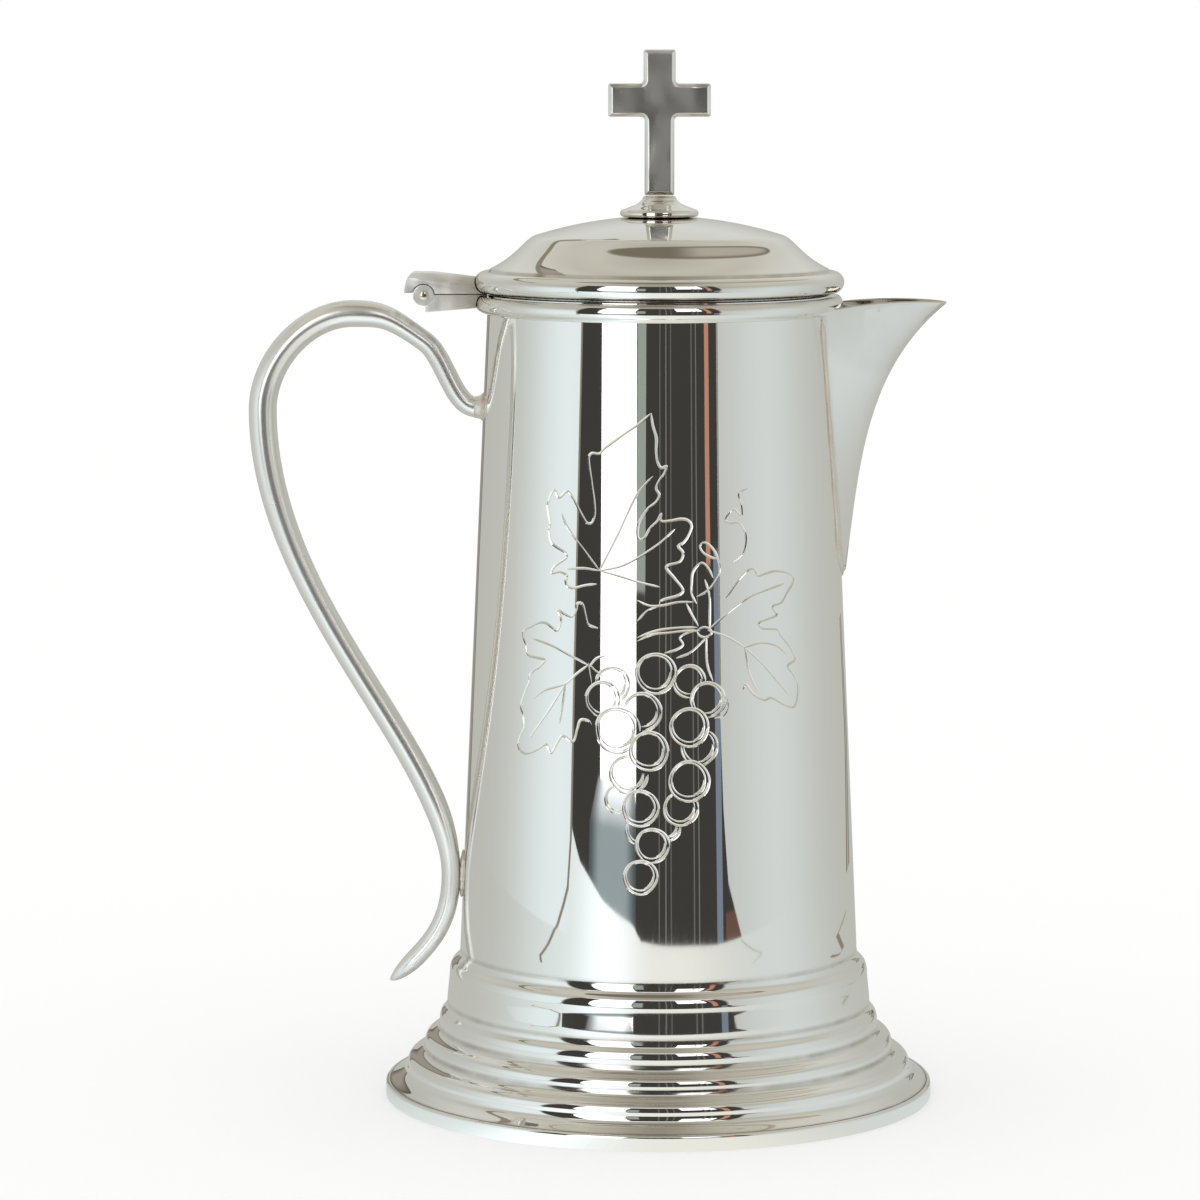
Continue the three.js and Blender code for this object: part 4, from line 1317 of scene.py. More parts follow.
    def make_sheet(self) -> None:
        """One closed mesh: outside, rounded brim, inside and the edges that lie on the drum."""
        outer = self.side_rows(0.0, self.foot_height)
        inner = self.side_rows(self.wall, self.foot_height + 0.8 * self.foot_round)
        middle, half = (outer[-1] + inner[-1]) / 2, (outer[-1] - inner[-1]) / 2
        lift = np.array([0, 0, self.brim_round])
        brim = [middle + half * math.cos(a) + lift * math.sin(a) for a in np.linspace(0, math.pi, 10)[1:-1]]
        points = np.concatenate([outer, np.array(brim), inner[::-1]])
        count, columns, rows = len(points), self.columns, len(outer)
        faces, points = grid_faces(count, columns), points.reshape(-1, 3)
        for near in range(rows - 1):
            corners = (near, near + 1, count - 2 - near, count - 1 - near)
            faces += [[row * columns + side for row in corners] for side in (0, columns - 1)]
        for side in (0, columns - 1):
            faces.append([row * columns + side for row in range(rows - 1, count - rows + 1)])
        made = mesh_object("spout_beak", placed(points), faces)
        first_inside = (rows + 1) * columns
        store(made, "crevice", [self.crevice_at(place, i >= first_inside) for i, place in enumerate(points)])
        shape = bmesh.new()
        shape.from_mesh(made.data)
        bmesh.ops.remove_doubles(shape, verts=shape.verts[:], dist=2 * WELD)
        bmesh.ops.recalc_face_normals(shape, faces=shape.faces[:])
        shape.to_mesh(made.data)
        shape.free()
        self.shop.handed(shaded_by_angle(made, 45), self.finishes.plate, Body.VESSEL, "spout")

    def make_solder(self) -> None:
        """A low, uneven bead of solder along both seams and round the foot."""
        bend = self.foot_height + self.foot_round * (1 - np.cos(np.linspace(0, math.pi / 2, 14)))[1:]
        straight = np.linspace(self.foot_height + self.foot_round, DRUM.top - 6.5, 60)[1:]
        side = []
        for height in (*bend, *straight):
            radius = DRUM.radius_at(height)
            angle = self.seam_angle(height) + 0.1 / radius
            side.append((radius * math.cos(angle), radius * math.sin(angle), height))
        foot = self.foot_height - 0.9
        other_side = [(x, -y, z) for x, y, z in reversed(side)]
        path = np.array([*other_side, (DRUM.radius_at(foot), 0.0, foot), *side])
        away = unit(path * [1, 1, 0])
        along_drum = np.cross(away, unit(np.gradient(path, axis=0)))
        steps = np.arange(len(path))
        uneven = 1 + 0.1 * np.sin(steps * 0.47) + 0.06 * np.sin(steps * 0.21 + 1)
        ends = np.minimum(1, np.minimum(steps, steps[::-1]) / 3)
        full = (uneven * ends)[:, None]
        axes = (away * (self.solder_rise * full), along_drum * (self.solder_spread * full))
        extra = {"sides": 16, "crevice": [0.55] * len(path)}
        self.shop.swept("spout_seam_solder", path, *axes, self.finishes.solder, Body.VESSEL, **extra)


# Handle


@dataclass
class Handle(Assembly):
    """Scroll handle of oval section, with its solder at the root and where it touches the drum."""

    root_drop: float = 34.6
    shoulder: Point = (71.4, 14.5)
    crown: Point = (93.1, 6.1)
    back: Point = (120.7, 35.7)
    touch_rise: float = 21.7
    tail_reach: float = 79.9
    tail_fall: float = 10.3
    shoulder_lean: float = 35.5
    tail_lean: float = 51.6
    root_thickness: float = 6.2
    back_thickness: float = 8.5
    shank_thickness: float = 7.5
    touch_thickness: float = 5.8
    tail_thickness: float = 5.7
    tail_taper: float = 11.0
    width_ratio: float = 1.35
    boss_thickness: float = 1.3
    pad_thickness: float = 0.35
    root_sink: float = 0.9
    darkening_reach: float = 16.0
    steps: tuple[int, ...] = (26, 20, 38, 60, 36)

    @property
    def root_height(self) -> float:
        """Height of the root."""
        return DRUM.top - self.root_drop

    @property
    def touch_height(self) -> float:
        """Height at which the handle meets the drum again."""
        return DRUM.base + self.touch_rise

    def stretches(self) -> list[list[np.ndarray]]:
        """The cubic stretches of the middle line.

        Returns:
            Five stretches of four points each.
        """
        root_reach = DRUM.radius_at(self.root_height) + self.boss_thickness + 2 * SEAT_GAP
        pad_reach = DRUM.radius_at(self.touch_height) + self.pad_thickness
        touch_reach = pad_reach + 2 * SEAT_GAP + self.touch_thickness / 2
        knots = (
            (root_reach, self.root_height, 0),
            (self.shoulder[0], DRUM.top - self.shoulder[1], self.shoulder_lean),
            (self.crown[0], DRUM.top - self.crown[1], 0), (self.back[0], DRUM.top - self.back[1], -90),
            (touch_reach, self.touch_height, -90),
            (self.tail_reach, DRUM.base - self.tail_fall, -self.tail_lean)
        )
        places = [np.array([-reach, 0.0, height]) for reach, height, _ in knots]
        leans = [math.radians(lean) for _, _, lean in knots]
        headings = [np.array([-math.cos(lean), 0.0, math.sin(lean)]) for lean in leans]
        pulls = ((0.29, 0.31), (0.56, 0.39), (0.36, 0.37), (0.39, 0.25), (0.53, 0.28))
        made = []
        for i, (first, second) in enumerate(pulls):
            start, end = places[i : i + 2]
            chord = np.linalg.norm(end - start)
            pulled = (start + headings[i] * first * chord, end - headings[i + 1] * second * chord)
            made.append([start, *pulled, end])
        return made

    def thickness(self, stretch: int, share: float) -> float:
        """Thickness of the bar on one of its stretches.

        Args:
            stretch: Index of the stretch.
            share: How far along it, from 0 to 1.

        Returns:
            The thickness.
        """
        crown, shank = 0.96 * self.back_thickness, 3
        ends = (
            (self.root_thickness, self.root_thickness), (self.root_thickness, crown),
            (crown, self.back_thickness), (self.back_thickness, self.shank_thickness),
            (self.touch_thickness, self.tail_thickness)
        )
        even = lerp(*ends[stretch], smoothstep(share, 0, 0.4 if stretch == shank else 1.0))
        return lerp(even, self.touch_thickness, smoothstep(share, 0.8, 1)) if stretch == shank else even

    def make(self) -> None:
        """Makes the bar and its two joints."""
        self.make_bar()
        self.make_root_solder()
        self.make_touch_solder()

    def make_bar(self) -> None:
        """The swept bar with a tail that thins to a blunt point."""
        path, headings, halves = [], [], []
        for index, (controls, steps) in enumerate(zip(self.stretches(), self.steps)):
            for i in range(0 if index == 0 else 1, steps + 1):
                path.append(cubic_at(controls, i / steps))
                headings.append(cubic_heading(controls, i / steps))
                halves.append(self.thickness(index, i / steps) / 2)
        root = path[0] + np.array([self.root_sink, 0, 0])
        shares = np.sin(np.radians(np.linspace(8, 90, 11)))
        tail = [path[-1] + headings[-1] * halves[-1] * share for share in shares]
        path = np.array([root, root, *path, *tail])
        headings = np.array([headings[0]] * 2 + headings + [headings[-1]] * len(tail))
        halves = np.array([0.0, halves[0], *halves] + [halves[-1]] * len(tail))
        outward = np.stack([headings[:, 2], 0 * halves, -headings[:, 0]], 1)
        to_tip = np.append(np.cumsum(np.linalg.norm(np.diff(path, axis=0), axis=1)[::-1])[::-1], 0.0)
        slimness = (1 - (1 - np.clip(to_tip / self.tail_taper, 0, 1)) ** 2) ** 0.6
        path = path + outward * (0.5 * halves * (1 - slimness))[:, None]
        halves = halves * slimness
        across = np.tile([0.0, 1.0, 0.0], (len(path), 1)) * (halves * self.width_ratio)[:, None]
        # Darker where the bar runs within 1.6 mm of the drum, near the height where it touches.
        stand = -path[:, 0] - np.array([DRUM.radius_at(z) for z in path[:, 2]]) - halves
        near_touch = np.abs(path[:, 2] - self.touch_height) < self.darkening_reach
        extra = {"sides": 56, "crevice": np.where(near_touch, np.clip(1 - stand / 1.6, 0, 1) * 0.45, 0.0)}
        axes = (outward * halves[:, None], across)
        self.shop.swept("handle_scroll", path, *axes, self.finishes.bar, Body.VESSEL, "handle", **extra)

    def make_root_solder(self) -> None:
        """The solder collar that flares from the handle's root on to the drum."""
        surface, tall = DRUM.radius_at(self.root_height), self.root_thickness / 2
        wide = tall * self.width_ratio
        flare = (
            (-0.5, -tall, -wide, 0), (-0.5, 1.55, 1.75, 0.9), (0.05, 1.3, 1.55, 0.9), (0.35, 0.95, 1.15, 0.5),
            (0.8, 0.6, 0.72, 0.25), (1.4, 0.36, 0.42, 0.2), (2.1, 0.2, 0.22, 0.35), (2.7, 0.06, 0.06, 0.8),
            (2.9, -0.25, -0.25, 0), (2.9, -tall, -wide, 0)
        )
        path = [(-surface - out, 0.0, self.root_height) for out, *_ in flare]
        rise = np.array([(0.0, 0.0, tall + more) for _, more, _, _ in flare])
        spread = np.array([(0.0, wide + more, 0.0) for _, _, more, _ in flare])
        piece = (path, rise, spread, self.finishes.solder, Body.VESSEL)
        crevice = [share for *_, share in flare]
        self.shop.swept("handle_root_solder", *piece, "handle_root_boss", crevice=crevice)

    def make_touch_solder(self) -> None:
        """The solder that fills the narrow gap where the handle meets the drum lower down."""
        steps, reach, tall, wide = 26, 7.5, 1.0, 3.1
        path, full = [], []
        for i in range(steps + 1):
            share = 2 * i / steps - 1
            height = self.touch_height + reach * share
            path.append((-DRUM.radius_at(height) - 0.3, 0.0, height))
            full.append(math.sqrt(max(1 - share**2, 0.0)) * (1 + 0.1 * math.sin(i * 1.3)))
        axes = (np.outer(full, (-tall, 0.0, 0.0)), -np.outer(full, (0.0, wide, 0.0)))
        crevice = np.interp(range(steps + 1), (0, 4, 18, steps), (0.5, 0.1, 0.05, 0.8))
        piece = (path, *axes, self.finishes.solder, Body.VESSEL)
        self.shop.swept("handle_touch_solder", *piece, "handle_touch_pad", sides=24, crevice=crevice)


# Hinge


@dataclass
class Hinge(Assembly):
    """Three knuckle hinge: a wedge on the mouth ring, a cap on the lid and a riveted pin."""

    pin_reach: float = 71.4
    pin_drop: float = 0.2
    pin_radius: float = 1.1
    pin_head_radius: float = 1.45
    pin_head_height: float = 0.6
    width: float = 15.0
    lid_knuckle_width: float = 8.0
    knuckle_radius: float = 3.2
    leaf_round: float = 0.28

    @property
    def pin_height(self) -> float:
        """Height of the pin's middle."""
        return DRUM.top - self.pin_drop

    def make(self) -> None:
        """Makes both leaves, their knuckles and the pin."""
        half, middle = self.width / 2, self.lid_knuckle_width / 2
        leaves = (("hinge_body_leaf", "hinge_wedge", Body.VESSEL), ("hinge_lid_leaf", "hinge_cap", Body.LID))
        for node, name, body in leaves:
            leaf = shaded_by_angle(bevelled(merged_copy(node, name), self.leaf_round, 3), 34)
            store(leaf, "crevice", [self.crevice_at(corner.co) for corner in leaf.data.vertices])
            self.shop.handed(leaf, self.finishes.hinge, body, node)
        self.make_knuckle("hinge_knuckle_near", -half, -middle - SEAT_GAP, Body.VESSEL)
        self.make_knuckle("hinge_knuckle_far", middle + SEAT_GAP, half, Body.VESSEL)
        self.make_knuckle("hinge_knuckle_lid", -middle, middle, Body.LID)
        self.make_pin()

    def crevice_at(self, place: Vector) -> float:
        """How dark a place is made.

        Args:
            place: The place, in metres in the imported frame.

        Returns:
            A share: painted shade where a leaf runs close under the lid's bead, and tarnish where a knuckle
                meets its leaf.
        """
        reach, height = (AXIS_X - place.x) / MM, place.z / MM
        from_pin = math.hypot(reach - self.pin_reach, height - self.pin_height) - self.knuckle_radius
        # The first term paints the shade that the lid's bead throws on the leaves.
        return max(0.9 * smoothstep(reach, 59.5, 56.5), 0.5 * smoothstep(from_pin, 0.9, 0.1))

    def make_across(
        self, name: str, profile: Sequence[Point], finish: Finish, body: Body, *nodes: str
    ) -> None:
        """Makes a piece turned about the pin.

        Args:
            name: Its name.
            profile: Radius and place along the pin.
            finish: Its finish.
            body: The body that it rides on.
            *nodes: CAD nodes that it replaces.
        """
        at_pin = Matrix.Translation((AXIS_X - self.pin_reach * MM, 0, self.pin_height * MM))
        lay = at_pin @ Matrix.Rotation(math.pi / 2, 4, "X") @ Matrix.Translation((-AXIS_X, 0, 0))
        self.shop.turned(name, profile, finish, body, *nodes, segments=64, longest=1.0, edge=0.25, lay=lay)

    def make_knuckle(self, name: str, low: float, high: float, body: Body) -> None:
        """One knuckle, a little proud of the leaf's side.

        Args:
            name: Name of the piece.
            low: Where it starts along the pin.
            high: Where it ends.
            body: The body that it rides on.
        """
        bore, radius, proud = self.pin_radius + 0.1, self.knuckle_radius + 0.02, 0.06
        profile = [
            (bore, -high - proud), (radius, -high - proud), (radius, -low + proud), (bore, -low + proud)
        ]
        self.make_across(name, [*profile, profile[0]], self.finishes.hinge, body)

    def make_pin(self) -> None:
        """The pin with a low riveted head at each end."""
        proud, head = 0.08, self.pin_head_radius
        end, tall = self.width / 2 + proud, self.pin_head_height + SEAT_GAP - proud
        angles = np.linspace(0, math.pi / 2, 9)
        dome = [(head * math.cos(a), end + tall * (0.3 + 0.7 * math.sin(a))) for a in angles]
        dome[-1] = (0.0, dome[-1][1])
        half = [(self.pin_radius, end), (head, end), *dome]
        profile = [*((radius, -z) for radius, z in reversed(half)), *half]
        self.make_across("hinge_pin_rivet", profile, self.finishes.pin, Body.VESSEL, "hinge_pin")


# Engraving


@dataclass(frozen=True)
class Stroke:
    """One engraved line: round and up places in millimetres, from the drum's front middle line."""

    line: tuple[Point, ...]
    width: float = 0.55
    closed: bool = False


def flowing(points: Sequence[Point], step: float, closed: bool) -> np.ndarray:
    """A smooth line through points, at even steps.

    Args:
        points: Places that it passes through.
        step: Length of a step.
        closed: Whether it joins its start.

    Returns:
        The line's points. A closed one doesn't repeat its first.
    """
    knots = np.asarray(points, float)
    ends = (knots[-1:], knots[:2]) if closed else (2 * knots[:1] - knots[1:2], 2 * knots[-1:] - knots[-2:-1])
    knots = np.vstack([ends[0], knots, ends[1]])
    made = []
    for a, b, c, d in zip(knots, knots[1:], knots[2:], knots[3:]):
        reach = np.linalg.norm(c - b)
        start = (c - a) * reach / max(reach + np.linalg.norm(b - a), WELD)
        end = (d - b) * reach / max(reach + np.linalg.norm(d - c), WELD)
        count = max(1, round(reach / step))
        for t in np.arange(count) / count:
            from_b, from_c = (2 * t**3 - 3 * t**2 + 1) * b, (3 * t**2 - 2 * t**3) * c
            made.append(from_b + (t**3 - 2 * t**2 + t) * start + from_c + (t**3 - t**2) * end)
    return np.array(made if closed else [*made, knots[-2]])


class Grapevine:
    """The engraved spray of grapes, leaves and tendrils, as strokes on the unrolled drum."""

    outline_width = 0.82
    vein_width = 0.7
    overlap = 0.12
    least_points = 4
    outlines: tuple[tuple[Point, ...], ...] = (
        ((-3, 214), (-6.5, 211), (-11.5, 207.5), (-17, 203.5), (-18.5, 202), (-21, 202), (-22, 200.5),
         (-21, 193.5),
         (-20, 184.5), (-21, 181.5), (-22.5, 181.5), (-24, 183.5), (-27, 188.5), (-29, 190.5), (-32, 188.5),
         (-33.5, 190.5), (-35, 189), (-36, 185.5), (-35, 180.5), (-35.5, 178.5), (-34.5, 175), (-29, 171.5),
         (-33.5, 168), (-34.5, 166), (-31.5, 166.5), (-29, 165.5), (-29.5, 164), (-29, 162.5), (-27, 162),
         (-23, 163), (-19.5, 163.5)),
        ((-3, 214), (-2.5, 210.5), (-1.5, 207), (-1.5, 202.5), (-1, 199.5), (0, 198), (1.5, 198.5),
         (1, 196.5),
         (-0.5, 194.5), (-1.5, 192), (-0.5, 190), (-1.5, 188), (-4, 186), (-6.5, 182), (-7, 179), (-6.5, 177),
         (-5, 177.5), (-3.5, 180), (-1, 182.5), (0, 184.5), (0, 182.5), (2.5, 182.5), (6, 183), (8, 182.5),
         (9, 181), (8, 178), (6.5, 176), (5, 175), (6.5, 173), (5.5, 170.5), (1.5, 169), (4, 165.5),
         (6.5, 162),
         (5, 160.5), (0, 159), (-0.5, 157.5)),
        ((-21, 122), (-22, 123), (-24.5, 123), (-25.5, 120.5), (-27, 116.5), (-30.5, 118), (-32.5, 115.5),
         (-34.5, 112.5), (-35.5, 114), (-36.5, 115), (-40, 113), (-44, 111.5), (-46.5, 112), (-47.5, 113.5),
         (-47, 116), (-45, 119.5), (-45.5, 123), (-46.5, 125.5), (-45, 129.5), (-43, 133), (-42.5, 135.5),
         (-39.5, 137.5), (-37, 140), (-40.5, 140.5), (-43.5, 141), (-44.5, 144), (-45.5, 146), (-45.5, 148),
         (-42.5, 149.5), (-39, 151), (-36.5, 151), (-34.5, 150), (-32.5, 149), (-31, 152.5), (-32, 155),
         (-29.5, 154), (-27.5, 153.5), (-26, 155.5), (-25.5, 157.5), (-24, 157.5), (-23, 154.5), (-22, 151.5),
         (-19, 150.5)),
        ((19.5, 159.5), (21.5, 162), (24, 165), (27, 167.5), (29, 167.5), (30, 165.5), (33, 166), (37, 166.5),
         (43, 165), (44, 163), (41, 159.5), (39, 157), (35.5, 156), (37, 153.5), (34, 152.5), (30.5, 151.5),
         (31.5, 150), (34.5, 149.5), (37.5, 149), (38.5, 147.5), (41.5, 144.5), (43.5, 142), (44.5, 139.5),
         (41.5, 138), (43.5, 135.5), (45.5, 132.5), (45.5, 128), (44, 125.5), (40, 126.5), (35, 129),
         (32.5, 128.5), (28.5, 130.5), (26, 133.5), (25, 132)),
    )
    veins: tuple[tuple[Point, ...], ...] = (
        ((-18.5, 167.5), (-23.5, 173.5), (-29, 180), (-31, 184)),
        ((-18.5, 167.5), (-23.5, 168), (-29, 167.5)),
        ((-18.5, 167.5), (-12, 169), (-7, 171.5), (-1, 175.5), (4, 180)),
        ((-18.5, 167.5), (-13, 178), (-7, 190.5), (-4.5, 193.5), (-2.5, 195.5)),
        ((-18.5, 167.5), (-12, 166), (-7, 164.5), (-0.5, 163)),
        ((-22, 139.5), (-28, 142), (-34.5, 144.5), (-41.5, 146)),
        ((-22, 139.5), (-26, 136.5), (-29.5, 133.5), (-37, 131), (-41.5, 128)),
        ((-29.5, 133.5), (-35.5, 125), (-43, 116)), ((-29.5, 133.5), (-30.5, 127), (-31.5, 121.5)),
        ((-22, 139.5), (-21.5, 136.5), (-21, 134)),
        ((14, 150), (19.5, 154.5), (26.5, 159), (33, 161), (40, 162.5)),
        ((14, 150), (18.5, 148.5), (22.5, 146.5), (25.5, 144.5)),
        ((25.5, 144.5), (31, 145.5), (36.5, 144.5), (41, 141.5)),
        ((25.5, 144.5), (31, 140), (36.5, 134.5), (42, 129)), ((25.5, 144.5), (27, 137.5), (30, 131))
    )
    tendrils: tuple[tuple[Point, ...], ...] = (
        ((26.5, 191.5), (23.5, 190), (24.5, 186), (24.5, 183.5), (22, 185.5), (19, 182.5), (21, 181.5),
         (23.5, 181.5), (25.5, 179), (26, 176), (25, 172.5), (22, 170)),
        ((10.5, 158), (9, 161), (9, 164), (9.5, 167.5), (12, 170), (14, 168.5), (15.5, 165.5)),
        ((10.5, 160), (13.5, 161.5), (15.5, 163.5), (17.5, 167), (17, 171), (15.5, 174), (13, 176),
         (11.5, 175),
         (12.5, 173), (15, 171.5), (17, 171)),
        ((13, 165), (14, 162), (14.5, 159.5), (14.5, 154.5), (14.5, 150.5)),
        ((13.5, 148.5), (13.5, 143.5), (14, 139), (15.5, 135)),
        ((-7, 159), (-3.5, 157.5), (0, 157.5), (5, 158.5), (9.5, 158.5)),
        ((-7, 153), (-4, 156), (-0.5, 157.5)),
        ((-7, 148), (-3.5, 149.5), (0.5, 150.5), (5.5, 151), (10.5, 151)),
        ((-7, 147), (-2.5, 149), (2, 149.5), (7, 150), (11.5, 150)),
        ((7.5, 158), (9, 155), (11, 151.5)),
        ((10.5, 150), (8, 149.5), (5.5, 148), (6.5, 146), (4.5, 144.5), (1, 143.5)),
        ((13.5, 148), (11.5, 146), (8.5, 143.5), (4.5, 142)),
        ((10.5, 150), (12.5, 151), (14.5, 150.5), (15, 149), (13.5, 148), (11.5, 148.5), (10.5, 150)),
        ((-22, 138.5), (-19.5, 141.5), (-16.5, 142.5)),
        ((-22, 140), (-20, 138), (-17.5, 136.5)),
        ((18.5, 130), (19.5, 128.5), (18.5, 126.5), (17, 125.5)),
        ((20, 129.5), (20, 126.5), (18.5, 124.5), (16, 124)),
        ((16.5, 127.5), (18.5, 128), (20.5, 129)),
    )
    grapes: tuple[tuple[float, float, float], ...] = (
        (-6, 77, 5), (-2.5, 86.5, 5), (-6, 97.5, 5.3), (8.5, 105.5, 6), (-3.5, 114.5, 5.7), (8.5, 121.5, 5.7),
        (-1.5, 137.5, 5.9), (-13, 120.5, 6.7), (14, 129.5, 5.2), (6, 97.5, 5.1), (1, 92.5, 5),
        (-5.5, 91, 4.8), (-9.5, 107.5, 5.7), (11.5, 115.5, 5.5), (-12.5, 100, 4.2), (-5.5, 126, 5.7),
        (8.5, 135, 4.8), (-17.5, 129.5, 5.3), (-14.5, 134, 5.2)
    )
    step = 0.55

    def strokes(self) -> list[Stroke]:
        """Every stroke of the spray.

        Returns:
            The strokes of stem, leaves, tendrils and grapes.
        """
        made = [Stroke(line, self.outline_width) for line in self.outlines]
        made += [Stroke(line, self.vein_width) for line in (*self.veins, *self.tendrils)]
        return made + self.grape_strokes()

    def grape_strokes(self) -> list[Stroke]:
        """Two rings and shading cuts for each grape.

        Returns:
            The strokes that no grape in front hides.
        """
        made = []
        for i, (around, height, size) in enumerate(self.grapes):
            rings = (
                (0.0, 0.0, size, 0.0, 360.0, 0.68), (-0.05 * size, 0.07 * size, 0.83 * size, 0.0, 360.0, 0.5),
                (0.04 * size, 0.0, 0.66 * size, -72.0, 4.0 + 9 * math.sin(i * 2.1), 0.6),
                (0.02 * size, -0.01 * size, 0.9 * size, -80.0, -5.0, 0.6),
                (0.03 * size, 0.0, 0.77 * size, -64.0, -14.0, 0.55)
            )
            for shift, lift, radius, start, end, width in rings:
                angles = np.radians(np.linspace(start, end, 49 if end == 360 else 13))
                runs: list[list[Point]] = [[]]
                for angle in angles:
                    wobble = radius * (1 + 0.015 * math.sin(3 * angle + i))
                    across, up = wobble * math.cos(angle), wobble * math.sin(angle)
                    place, nearer = (around + shift + across, height + lift + up), self.grapes[:i]
                    if any(math.dist(place, (x, z)) < other + self.overlap for x, z, other in nearer):
                        runs.append([])
                    else:
                        runs[-1].append(place)
                if end == 360 and len(runs[-1]) == len(angles):
                    made.append(Stroke(tuple(runs[-1][:-1]), width, closed=True))
                else:
                    made += [Stroke(tuple(run), width) for run in runs if len(run) >= self.least_points]
        return made


class GrooveField:
    """Depth and slope of the engraved lines at any place of the unrolled drum."""

    cell = 2.5

    def __init__(self, strokes: Sequence[Stroke], step: float, depth_share: float) -> None:
        """Samples the strokes and sorts their short segments into cells.

        Args:
            strokes: The engraved lines.
            step: Length of a segment.
            depth_share: Depth of a line as a share of its width.
        """
        self.depth_share = depth_share
        self.lines: list[tuple[np.ndarray, np.ndarray, bool]] = []
        rows: list[np.ndarray] = []
        for stroke in strokes:
            line = flowing(stroke.line, step, stroke.closed)
            halves = np.full(len(line), stroke.width / 2)
            if not stroke.closed:
                gone = np.concatenate([[0], np.cumsum(np.linalg.norm(np.diff(line, axis=0), axis=1))])
                left = np.minimum(gone, gone[-1] - gone)
                halves *= 0.35 + 0.65 * np.clip(left / 1.6, 0, 1)
            halves *= 1 + 0.12 * np.sin(np.arange(len(line)) * 0.31 + len(rows))
            self.lines.append((line, halves, stroke.closed))
            ring = np.column_stack([line, np.roll(line, -1, 0), halves, np.roll(halves, -1)])
            rows += list(ring if stroke.closed else ring[:-1])
        self.segments = np.array(rows)
        reach = float(self.segments[:, 4:].max())
        self.cells: dict[tuple[int, int], list[int]] = {}
        for i, (ax, ay, bx, by, _, _) in enumerate(self.segments):
            low = (np.array([min(ax, bx), min(ay, by)]) - reach) // self.cell
            high = (np.array([max(ax, bx), max(ay, by)]) + reach) // self.cell
            for column in range(int(low[0]), int(high[0]) + 1):
                for row in range(int(low[1]), int(high[1]) + 1):
                    self.cells.setdefault((column, row), []).append(i)

    def at(self, places: np.ndarray) -> tuple[np.ndarray, np.ndarray]:
        """Depth at places, and its slope.

        Args:
            places: Round and up places.

        Returns:
            Depths, and the two slopes of the depth.
        """
        depth, slope = np.zeros(len(places)), np.zeros((len(places), 2))
        keys = np.floor(places / self.cell).astype(int)
        order = np.lexsort((keys[:, 1], keys[:, 0]))
        breaks = np.nonzero(np.any(np.diff(keys[order], axis=0), axis=1))[0] + 1
        for group in np.split(order, breaks):
            found = self.cells.get(tuple(keys[group[0]]))
            if not found:
                continue
            near = self.segments[found]
            start, along = near[:, :2], near[:, 2:4] - near[:, :2]
            away = places[group][:, None] - start[None]
            share = np.clip((away * along).sum(2) / np.maximum((along**2).sum(1), 1e-12), 0, 1)
            gap = away - share[..., None] * along
            distance = np.sqrt((gap**2).sum(2))
            halves = near[:, 4] + share * (near[:, 5] - near[:, 4])
            deep = 2 * self.depth_share * (halves - distance)
            pick = np.arange(len(group)), deep.argmax(1)
            inside = deep[pick] > 0
            depth[group] = np.where(inside, deep[pick], 0)
            direction = gap[pick] / np.maximum(distance[pick], 1e-9)[:, None]
            slope[group] = np.where(inside[:, None], -2 * self.depth_share * direction, 0)
        return depth, slope


# Drum


@dataclass
class Skin:
    """A triangulated part of the drum's surface: points, faces, normals per corner and depths."""

    points: np.ndarray
    faces: np.ndarray
    normals: np.ndarray
    depths: np.ndarray


